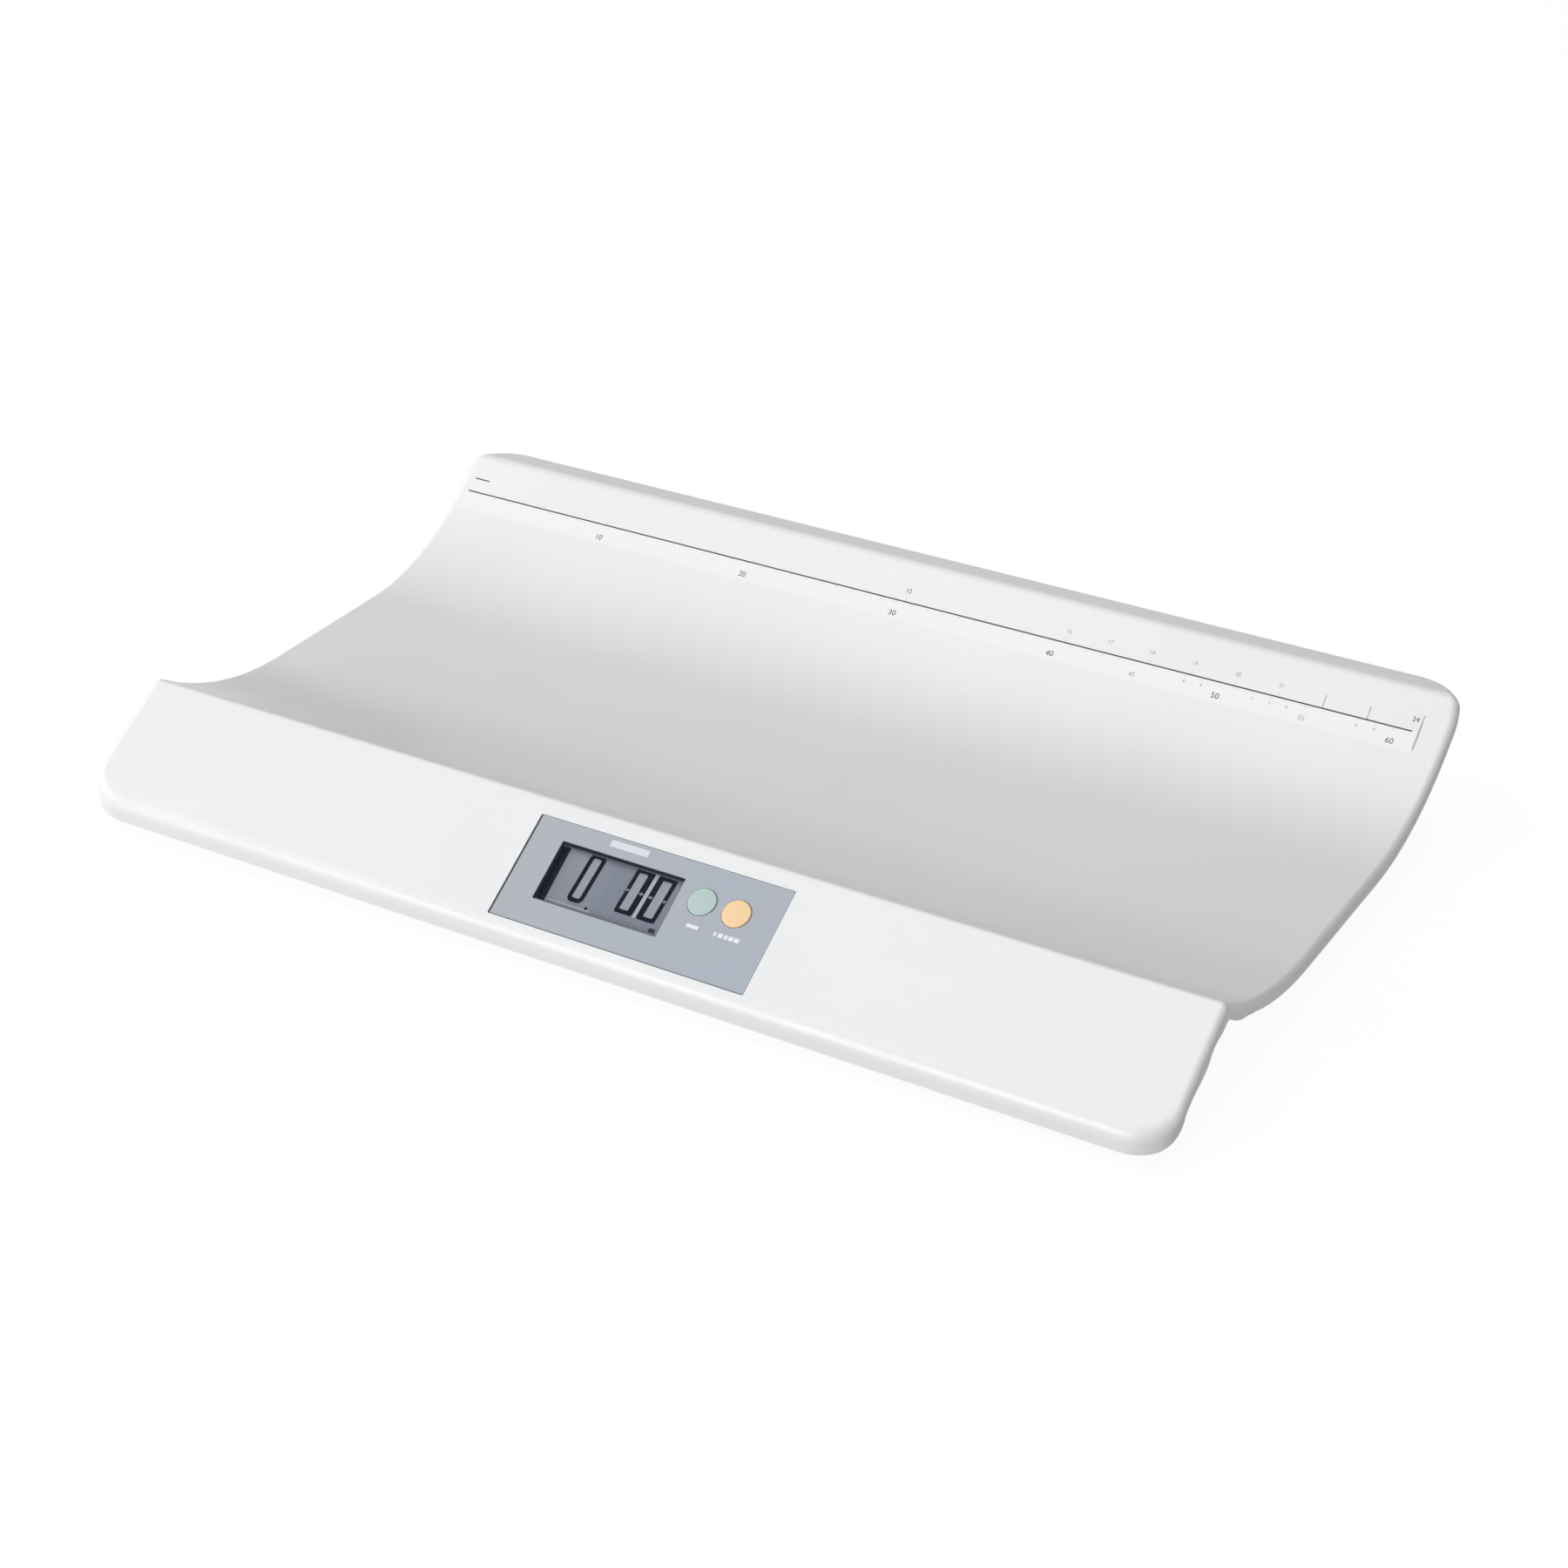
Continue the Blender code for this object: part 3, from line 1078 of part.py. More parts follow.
def make_display(shop, grey, clear, dark, glass, rubber):
    """Panel plate, window, bezel, display glass and the two strips that join the glass to the board."""
    outline = centred_rectangle((PANEL_LENGTH, PANEL_WIDTH), PANEL_CORNER, steps=2)
    bottom = -PANEL_SET_BACK - PANEL_THICKNESS
    plate = mesh_from("control_panel", slab(outline, bottom, -PANEL_SET_BACK))
    plate = shop.add("control_panel", plate, grey, shop.panel)
    outline = centred_rectangle((WINDOW_LENGTH, WINDOW_WIDTH), WINDOW_CORNER, WINDOW_PLACE)
    opening = mesh_from("plate_opening", slab(outline, bottom - OVERRUN, OVERRUN))
    places = (GREEN_PLACE, ORANGE_PLACE)
    holes = pins("plate_holes", places, BUTTON_RADIUS + GAP, bottom - OVERRUN, OVERRUN, SHOWN)
    cut(plate, *[shop.add(mesh.name, mesh, parent=shop.panel) for mesh in (opening, holes)])

    size = (WINDOW_LENGTH - 2 * GAP, WINDOW_WIDTH - 2 * GAP)
    outline = centred_rectangle(size, WINDOW_CORNER - GAP, WINDOW_PLACE)
    window = mesh_from("display_window", slab(outline, bottom, -PANEL_SET_BACK))
    shop.add("display_window", window, clear, shop.panel)

    collar_outline = centred_rectangle(COLLAR_SIZE, WINDOW_CORNER + COLLAR_LAP, WINDOW_PLACE, 3)
    body_outline = centred_rectangle(BEZEL_SIZE, WINDOW_CORNER, WINDOW_PLACE, 2)
    sight_size = tuple(size - 2 * COLLAR_WALL for size in COLLAR_SIZE)
    sight_outline = centred_rectangle(sight_size, WINDOW_CORNER, WINDOW_PLACE, 2)
    cavity_size = tuple(size + 2 * GAP for size in GLASS_SIZE)
    cavity_outline = centred_rectangle(cavity_size, WINDOW_CORNER, WINDOW_PLACE, 2)
    body = mesh_from("lcd_bezel", slab(body_outline, BOARD_TOP + GAP, BEZEL_TOP))
    bezel = shop.add("lcd_bezel", body, dark, shop.panel)
    collar = mesh_from("bezel_collar", slab(collar_outline, BEZEL_TOP - GAP, COLLAR_TOP))
    cavity = mesh_from("bezel_cavity", slab(cavity_outline, BOARD_TOP - OVERRUN, GLASS_TOP + GAP))
    sight = mesh_from("bezel_sight", slab(sight_outline, GLASS_TOP - OVERRUN, OVERRUN))
    join(bezel, shop.add(collar.name, collar, parent=shop.panel))
    cut(bezel, *[shop.add(mesh.name, mesh, parent=shop.panel) for mesh in (cavity, sight)])

    outline = centred_rectangle(GLASS_SIZE, WINDOW_CORNER, WINDOW_PLACE, 2)
    pane = mesh_from("lcd_glass", slab(outline, GLASS_TOP - GLASS_THICKNESS, GLASS_TOP))
    shop.add("lcd_glass", pane, glass, shop.panel)
    half = Vector(GLASS_SIZE) / 2 - Vector((STRIP_INSET, STRIP_INSET))
    for name, sign in (("front", -1), ("back", 1)):
        edges = sorted((sign * half.y, sign * (half.y - STRIP_THICKNESS)))
        strip = boxes(f"elastomer_strip_{name}", [(
            (WINDOW_PLACE[0] - half.x, WINDOW_PLACE[1] + edges[0], BOARD_TOP + GAP),
            (WINDOW_PLACE[0] + half.x, WINDOW_PLACE[1] + edges[1], GLASS_TOP - GLASS_THICKNESS - GAP),
        )])
        shop.add(strip.name, strip, rubber, shop.panel)


def make_buttons(shop, finishes, body):
    """The two buttons, each held under the tray by its flange, and the switches that their stems press."""
    flange_top = -TRAY_WALL - GAP
    flange_bottom = flange_top - BUTTON_FLANGE_THICKNESS
    edge_share = 1 - math.sin(QUARTER / 2)
    profile = [
        (0, BUTTON_STANDOUT),
        (BUTTON_RADIUS - BUTTON_EDGE, BUTTON_STANDOUT),
        (BUTTON_RADIUS - BUTTON_EDGE * edge_share, BUTTON_STANDOUT - BUTTON_EDGE * edge_share),
        (BUTTON_RADIUS, BUTTON_STANDOUT - BUTTON_EDGE),
        (BUTTON_RADIUS, flange_top),
        (BUTTON_RADIUS + BUTTON_FLANGE, flange_top),
        (BUTTON_RADIUS + BUTTON_FLANGE, flange_bottom),
        (BUTTON_STEM_RADIUS, flange_bottom),
        (BUTTON_STEM_RADIUS, STEM_BOTTOM),
        (0, STEM_BOTTOM),
    ]
    for name, place in (("green", GREEN_PLACE), ("orange", ORANGE_PLACE)):
        turned(shop, f"{name}_button", profile, SHOWN, finishes[name], parent=shop.panel, place=(*place, 0))
        bottom = BOARD_TOP + GAP
        top = bottom + SWITCH_HEIGHT
        case = boxes(f"{name}_switch", [box_about(place, SWITCH_SIZE / 2, bottom, top)])
        switch = shop.add(case.name, case, body, shop.panel)
        plunger = pins(f"{name}_plunger", [place], PLUNGER_RADIUS, (bottom + top) / 2, PLUNGER_TOP, COARSE)
        join(switch, shop.add(plunger.name, plunger, parent=shop.panel))


def make_board(shop, green, dark, pale):
    """The circuit board on its bosses, with the controller and the header for the leads on its underside."""
    half = BOARD_WIDTH / 2
    outline = rounded_rectangle((BOARD_LEFT, -half), (BOARD_RIGHT, half), BOARD_CORNER, 3)
    blank = mesh_from("circuit_board", slab(outline, BOARD_BOTTOM, BOARD_TOP))
    board = shop.add("circuit_board", blank, green, shop.panel)
    low, high = BOARD_BOTTOM - OVERRUN, BOARD_TOP + OVERRUN
    holes = pins("board_holes", BOARD_SCREW_PLACES, BOARD_SCREW_RADIUS + GAP, low, high, COARSE)
    cut(board, shop.add(holes.name, holes, parent=shop.panel))
    top = BOARD_BOTTOM - GAP
    carried = {
        "controller_chip": (CHIP_PLACE, (CHIP_SIZE, CHIP_SIZE), CHIP_THICKNESS, dark),
        "lead_header": (HEADER_PLACE, (HEADER_LENGTH, HEADER_WIDTH), HEADER_HEIGHT, pale),
    }
    for name, (place, size, height, material) in carried.items():
        low = (place[0] - size[0] / 2, place[1] - size[1] / 2, top - height)
        high = (place[0] + size[0] / 2, place[1] + size[1] / 2, top)
        shop.add(name, boxes(name, [(low, high)]), material, shop.panel)


# Leads


def header_exit(k):
    """Where lead k leaves the header, in the world, and which way."""
    to_world = Matrix.Translation(PANEL_ORIGIN) @ Matrix.Rotation(APRON_SLOPE, 4, "X")
    x = HEADER_PLACE[0] + (k - (LEAD_COUNT - 1) / 2) * LEAD_PITCH
    bottom = BOARD_BOTTOM - 2 * GAP - HEADER_HEIGHT
    return to_world @ Vector((x, HEADER_PLACE[1], bottom)), to_world.to_3x3() @ Vector((0, 0, -1))


def make_leads(shop, materials):
    """The leads from the header: down to the floor, along it, and up to a gauge or a contact's tab."""
    routes = {}
    over_cell = CELL_BOTTOM + CELL_THICKNESS + GAP + LEAD_RADIUS
    gauge_reach = GAUGE_SIZE[0] / 2 + GAP
    for k, (name, lane) in CELL_LEADS.items():
        place = FOOT_PLACES[name]
        sign = math.copysign(1, place.x)
        y = place.y + GAUGE_PLACE
        routes[f"cell_lead_{name}"] = (k, [
            (sign * LEAD_TURN_X, LEAD_LANE_PLACE - lane * LEAD_LANE_PITCH, LEAD_FLOOR),
            (sign * LEAD_TURN_X, y, LEAD_FLOOR),
            (sign * LEAD_TURN_X, y, over_cell),
            (place.x - sign * gauge_reach, y, over_cell),
        ], LEAD_LANE_PLACE - lane * LEAD_LANE_PITCH)
    over_rim = BASE_FLOOR + DOOR_THICKNESS + GAP + LEAD_RADIUS
    rim_front = -BAY_INSIDE[1] / 2 - BAY_RIM - DOOR_LAP
    stagger = LEAD_PITCH * (math.sqrt(2) - 1)
    for k, (name, row) in BATTERY_LEADS.items():
        x = TAB_END + LEAD_BEND + k * LEAD_PITCH
        y = battery_row(row)
        slant_end = rim_front - 2 * LEAD_BEND - k * stagger
        routes[f"battery_lead_{name}"] = (k, [
            (x, slant_end, LEAD_FLOOR),
            (x, rim_front - LEAD_BEND, over_rim),
            (x, y, over_rim),
            (x, y, BATTERY_HEIGHT),
            (TAB_END + GAP, y, BATTERY_HEIGHT),
        ], slant_end - (x - header_exit(k)[0].x))
    for name, (k, rest, turn_y) in routes.items():
        start, way = header_exit(k)
        landing = start + way * ((LEAD_FLOOR - start.z) / way.z)
        points = [start, landing, (start.x, turn_y, LEAD_FLOOR), *rest]
        bends = len(points) - 2
        line = filleted(points, [LEAD_BEND] * bends, [LEAD_BEND_STEPS] * bends, LEAD_BEND_SHARE)
        wire(shop, name, line, LEAD_RADIUS, materials[name])


def main():
    clear_scene()
    shop = Workshop()
    section = tray_section()
    white = finish("white_plastic", (0.86, 0.86, 0.85), 0.38)
    base_white = finish("base_plastic", (0.78, 0.78, 0.77), 0.45)
    grey = finish("panel_grey", (0.42, 0.44, 0.47), 0.40)
    clear = finish("clear_plastic", (0.80, 0.84, 0.86), 0.08, alpha=0.35)
    dark = finish("dark_plastic", (0.05, 0.05, 0.06), 0.45)
    glass = finish("display_glass", (0.27, 0.29, 0.32), 0.15)
    rubber = finish("black_rubber", (0.03, 0.03, 0.03), 0.85)
    steel = finish("bright_steel", (0.62, 0.62, 0.60), 0.30, metallic=1.0)
    pale = finish("pale_plastic", (0.85, 0.82, 0.72), 0.50)
    board_green = finish("board_green", (0.03, 0.20, 0.09), 0.45)
    cell_blue = finish("cell_wrap", (0.05, 0.12, 0.35), 0.35)
    buttons = {
        "green": finish("button_green", (0.45, 0.66, 0.56), 0.45),
        "orange": finish("button_orange", (0.90, 0.55, 0.22), 0.45),
    }
    red_lead = finish("red_lead", (0.55, 0.04, 0.03), 0.60)
    black_lead = finish("black_lead", (0.03, 0.03, 0.03), 0.60)
    white_lead = finish("white_lead", (0.75, 0.75, 0.72), 0.60)

    make_tray(shop, section, white)
    make_base(shop, section, base_white)
    make_door(shop, base_white)
    for name, place in FOOT_PLACES.items():
        make_foot(shop, name, place, base_white, rubber)
        make_load_cell(shop, name, place, steel)
    make_screws(shop, steel)
    make_batteries(shop, cell_blue, steel)
    make_display(shop, grey, clear, dark, glass, rubber)
    make_buttons(shop, buttons, dark)
    make_board(shop, board_green, dark, pale)
    leads = {f"cell_lead_{name}": white_lead for name in FOOT_PLACES}
    make_leads(shop, leads | {"battery_lead_minus": black_lead, "battery_lead_plus": red_lead})
    for obj in shop.parts.objects:
        if obj.type == "MESH":
            smooth(obj)


main()
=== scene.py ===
"""Looks of an electronic baby scale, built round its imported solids.

Everything is in metres in the frame of the solids: X to the right along the tray, Y to the back, Z up.
"""

import json
import logging
import math
from dataclasses import dataclass, field
from enum import Enum

import bmesh
import bpy
import numpy as np
from mathutils import Matrix, Vector


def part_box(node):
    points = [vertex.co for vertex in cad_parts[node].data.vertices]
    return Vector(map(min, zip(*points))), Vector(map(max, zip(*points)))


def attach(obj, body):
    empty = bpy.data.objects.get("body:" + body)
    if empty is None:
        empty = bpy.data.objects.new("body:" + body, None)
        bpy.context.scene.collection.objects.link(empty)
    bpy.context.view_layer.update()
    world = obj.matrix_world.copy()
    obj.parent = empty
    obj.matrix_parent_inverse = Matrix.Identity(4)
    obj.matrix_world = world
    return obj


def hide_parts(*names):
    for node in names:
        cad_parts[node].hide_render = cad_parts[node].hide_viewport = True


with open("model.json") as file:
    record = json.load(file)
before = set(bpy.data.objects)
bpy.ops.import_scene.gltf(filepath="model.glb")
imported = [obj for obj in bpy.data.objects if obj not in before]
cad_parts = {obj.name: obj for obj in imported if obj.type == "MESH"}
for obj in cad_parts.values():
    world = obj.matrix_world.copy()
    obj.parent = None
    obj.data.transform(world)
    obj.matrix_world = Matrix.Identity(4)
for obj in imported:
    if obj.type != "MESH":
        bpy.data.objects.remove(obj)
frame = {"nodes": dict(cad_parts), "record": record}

log = logging.getLogger("baby_scale")

QUARTER = math.pi / 2
FULL_TURN = 2 * math.pi
MERGE_REACH = 0.00001
FLAT_DEGREES = 0.5
SHARP_DEGREES = 35.0
PLASTIC_IOR = 1.49
FIGURE_CURVE_STEPS = 3
COARSE_DETAIL = 1.0
MIDDLE_DETAIL = 2.0
FINE_DETAIL = 3.0
HOUSING = "housing"
WHITE_SLOT = "white_plastic"
DARK_SLOT = "dark_plastic"

Array = np.ndarray
Triple = tuple[float, float, float]
Colour = Triple
Pair = tuple[float, float]


class Joint(Enum):
    """How the rows and columns of a grid close."""

    OPEN = "open"
    RING = "ring"


# Meshes


def new_object(name: str, mesh: bpy.types.Mesh) -> bpy.types.Object:
    """Links an object that holds a mesh.

    Args:
        name: Name of the object.
        mesh: The mesh that it holds.

    Returns:
        The object.
    """
    obj = bpy.data.objects.new(name, mesh)
    bpy.context.scene.collection.objects.link(obj)
    return obj


def mesh_of(name: str, points: Array, faces: Array) -> bpy.types.Mesh:
    """Makes a mesh from whole arrays.

    Args:
        name: Name of the mesh.
        points: Corner places, (n, 3).
        faces: Corner numbers of each face, (m, 3) or (m, 4).

    Returns:
        The mesh.
    """
    mesh = bpy.data.meshes.new(name)
    mesh.vertices.add(len(points))
    mesh.vertices.foreach_set("co", np.asarray(points, np.float32).ravel())
    sides = faces.shape[1]
    mesh.loops.add(faces.size)
    mesh.loops.foreach_set("vertex_index", faces.ravel().astype(np.int32))
    mesh.polygons.add(len(faces))
    mesh.polygons.foreach_set("loop_start", np.arange(0, faces.size, sides, dtype=np.int32))
    mesh.update(calc_edges=True)
    mesh.validate()
    return mesh


def grid_faces(rows: int, columns: int, joint: Joint = Joint.OPEN) -> Array:
    """Corner numbers of the quads between the points of a grid.

    Point (i, j) has number i * columns + j. On a ring, the last column joins the first.

    Args:
        rows: How many rows the grid has.
        columns: How many points each row has.
        joint: Whether the rows are open or rings.

    Returns:
        Corner numbers, (n, 4).
    """
    number = np.arange(rows * columns).reshape(rows, columns)
    following = np.roll(number, -1, axis=1)
    if joint is Joint.OPEN:
        number, following = number[:, :-1], following[:, :-1]
    quads = np.stack([number[:-1], following[:-1], following[1:], number[1:]], axis=-1)
    return quads.reshape(-1, 4)


def eased(x: Array, places: Array, values: Array) -> Array:
    """Values between places, level at each place.

    The share from one place to the next is (1 - cos(pi t)) / 2, for t from 0 to 1.

    Args:
        x: Where the values are wanted.
        places: Rising places whose values are known.
        values: The value at each of these places.

    Returns:
        One value for each x.
    """
    number = np.interp(x, places, np.arange(len(places)))
    low = np.minimum(number.astype(int), len(places) - 2)
    share = (1 - np.cos(np.pi * (number - low))) / 2
    return values[low] * (1 - share) + values[low + 1] * share


def arc(centre: Array, start: Array, end: Array, turn: float, steps: int) -> Array:
    """Points of a circular arc, by the sine rule between its two radii.

    point(s) = centre + (sin((1 - s) turn) start + sin(s turn) end) / sin(turn), for s from 0 to 1.

    Args:
        centre: Middle of the circle.
        start: Radius to the first point.
        end: Radius to the last point.
        turn: Angle between the two radii.
        steps: Steps along the arc.

    Returns:
        The points, (steps + 1, 2).
    """
    share = np.linspace(0, 1, steps + 1)[:, None]
    return centre + (np.sin((1 - share) * turn) * start + np.sin(share * turn) * end) / math.sin(turn)


def box_corners(left: float, right: float, low: float, high: float) -> Array:
    """Corners of an upright box in the plane, anticlockwise from its lower left."""
    return np.array([(left, low), (right, low), (right, high), (left, high)])


def rounded_rectangle(size: Pair, radius: float, centre: Pair, steps: int) -> Array:
    """Outline of a rectangle with round corners, anticlockwise.

    Each corner is a quarter circle about a point one radius in from both sides.

    Args:
        size: Width and height.
        radius: Radius of the corners.
        centre: Middle of the rectangle.
        steps: Steps in each corner.

    Returns:
        The outline, (n, 2).
    """
    angles = QUARTER * np.arange(steps + 1) / steps
    half = np.array(size) / 2 - radius
    signs = np.array([(1, -1), (1, 1), (-1, 1), (-1, -1)])
    starts = np.array([-QUARTER, 0, QUARTER, 2 * QUARTER])
    turned = starts[:, None] + angles[None, :]
    circle = radius * np.stack([np.cos(turned), np.sin(turned)], axis=-1)
    return (np.array(centre) + signs[:, None, :] * half + circle).reshape(-1, 2)


def flat_fan(outline: Array) -> Array:
    """Triangles from the middle of an outline, whose point comes after the outline's own.

    Args:
        outline: Points of the outline.

    Returns:
        Corner numbers, (n, 3).
    """
    count = len(outline)
    ring = np.arange(count)
    return np.stack([ring, np.roll(ring, -1), np.full(count, count)], axis=1)


def turned_surface(profile: Array, sides: int) -> tuple[Array, Array]:
    """A solid turned about Z from a profile that starts and ends on the axis.

    point(i, a) = (radius_i cos a, radius_i sin a, height_i) for whole steps of a round the circle.

    Args:
        profile: Radius and height of each point, (n, 2).
        sides: Steps round the circle.

    Returns:
        Corner places (n, 3) and corner numbers (m, 3).
    """
    angles = FULL_TURN * np.arange(sides) / sides
    inner = profile[1:-1]
    ring = np.stack([np.cos(angles), np.sin(angles)], axis=1)
    points = np.concatenate([
        np.repeat(inner[:, :1], sides, axis=1)[..., None] * ring[None],
        np.repeat(inner[:, 1:], sides, axis=1)[..., None],
    ], axis=2).reshape(-1, 3)
    quads = grid_faces(len(inner), sides, Joint.RING)[:, ::-1]
    first, last = len(points), len(points) + 1
    points = np.vstack([points, (0, 0, profile[0, 1]), (0, 0, profile[-1, 1])])
    top = np.arange(sides)
    low = top + (len(inner) - 1) * sides
    caps = [
        np.stack([np.full(sides, first), top, np.roll(top, -1)], axis=1),
        np.stack([np.full(sides, last), np.roll(low, -1), low], axis=1),
    ]
    triangles = np.concatenate([quads[:, [0, 1, 2]], quads[:, [0, 2, 3]], *caps])
    return points, triangles


def shade(obj: bpy.types.Object, sharp_degrees: float = SHARP_DEGREES) -> bpy.types.Object:
    """Smooth shading, with edges sharper than an angle kept crisp.

    Args:
        obj: The piece.
        sharp_degrees: The least angle of a crisp edge.

    Returns:
        The same piece.
    """
    obj.data.shade_smooth()
    obj.data.set_sharp_from_angle(angle=math.radians(sharp_degrees))
    return obj


def bevelled(obj: bpy.types.Object, width: float, segments: int = 2) -> bpy.types.Object:
    """Rounds the sharp edges of a piece by a small bevel.

    Args:
        obj: The piece.
        width: Width of the bevel.
        segments: Steps across the bevel.

    Returns:
        The same piece.
    """
    step = obj.modifiers.new("soft_edges", "BEVEL")
    step.width = width
    step.segments = segments
    step.limit_method = "ANGLE"
    step.angle_limit = math.radians(SHARP_DEGREES)
    step.harden_normals = True
    return obj


def even_normals(obj: bpy.types.Object) -> bpy.types.Object:
    """Weights the smooth normals by area, so that flat faces stay flat beside narrow curved ones."""
    obj.modifiers.new("even_normals", "WEIGHTED_NORMAL").keep_sharp = True
    return obj


def settle(obj: bpy.types.Object) -> bpy.types.Object:
    """Turns a piece's modifiers into its mesh.

    Args:
        obj: The piece.

    Returns:
        The same piece.
    """
    graph = bpy.context.evaluated_depsgraph_get()
    mesh = bpy.data.meshes.new_from_object(obj.evaluated_get(graph), depsgraph=graph)
    obj.modifiers.clear()
    obj.data = mesh
    return obj


def cut_with(obj: bpy.types.Object, cutters: list[bpy.types.Object]) -> bpy.types.Object:
    """Takes the cutters out of a piece exactly, then removes them.

    Args:
        obj: The piece.
        cutters: Closed solids, each of which cuts.

    Returns:
        The same piece.
    """
    for cutter in cutters:
        step = obj.modifiers.new(cutter.name, "BOOLEAN")
        step.operation = "DIFFERENCE"
        step.solver = "EXACT"
        step.object = cutter
    bpy.context.view_layer.update()
    settle(obj)
    for cutter in cutters:
        bpy.data.objects.remove(cutter, do_unlink=True)
    return obj


def wear(
    obj: bpy.types.Object, finish: "Finish", body: str = HOUSING
) -> bpy.types.Object:
    """Gives a piece its finish and its body.

    Args:
        obj: The piece.
        finish: The finish that it wears.
        body: The body that it rides on.

    Returns:
        The same piece.
    """
    obj.data.materials.clear()
    obj.data.materials.append(finish.material())
    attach(obj, body)
    return obj


def merged_copy(node: str, name: str) -> bpy.types.Object:
    """A copy of a CAD node with its loose triangles joined and its flat faces made whole.

    Args:
        node: Name of the node.
        name: Name of the copy.

    Returns:
        The copy.
    """
    mesh = frame["nodes"][node].data.copy()
    bm = bmesh.new()
    bm.from_mesh(mesh)
    bmesh.ops.remove_doubles(bm, verts=bm.verts, dist=MERGE_REACH)
    bmesh.ops.dissolve_limit(bm, angle_limit=math.radians(FLAT_DEGREES), verts=bm.verts, edges=bm.edges)
    bm.to_mesh(mesh)
    bm.free()
    mesh.name = name
    return new_object(name, mesh)


# Finishes


@dataclass(frozen=True)
class Finish:
    """A surface finish, which makes one material the first time that it is worn."""

    name: str
    colour: Colour
    roughness: float = 0.5

    def material(self) -> bpy.types.Material:
        """The finish's material, made once.

        Returns:
            The material that bears the finish's name.
        """
        known = bpy.data.materials.get(self.name)
        if known:
            return known
        material = bpy.data.materials.new(self.name)
        material.use_nodes = True
        material.diffuse_color = (*self.colour, 1)
        nodes = material.node_tree.nodes
        shader = nodes["Principled BSDF"]
        shader.inputs["Base Color"].default_value = (*self.colour, 1)
        shader.inputs["Roughness"].default_value = self.roughness
        self.dress(Weave(material.node_tree, shader))
        return material

    def dress(self, weave: "Weave") -> None:
        """Adds the finish's own detail."""


def maths(tree: bpy.types.NodeTree, operation: str, *values: object) -> bpy.types.NodeSocket:
    """A maths node over other nodes' outputs or numbers.

    Args:
        tree: The material's node tree.
        operation: Blender's name of the operation.
        values: An output or a number for each input.

    Returns:
        The output with the result.
    """
    made = tree.nodes.new("ShaderNodeMath")
    made.operation = operation
    for socket, value in zip(made.inputs, values):
        if isinstance(value, bpy.types.NodeSocket):
            tree.links.new(value, socket)
        else:
            socket.default_value = value
    return made.outputs[0]


def mixed_shader(tree: bpy.types.NodeTree, share: object, first: object, second: object) -> object:
    """Two shaders mixed by a share.

    Args:
        tree: The node tree that holds them.
        share: Output with the second shader's share.
        first: Output of the first shader.
        second: Output of the second shader.

    Returns:
        The output of the mix.
    """
    mix = tree.nodes.new("ShaderNodeMixShader")
    for socket, source in zip(mix.inputs, (share, first, second)):
        tree.links.new(source, socket)
    return mix.outputs[0]


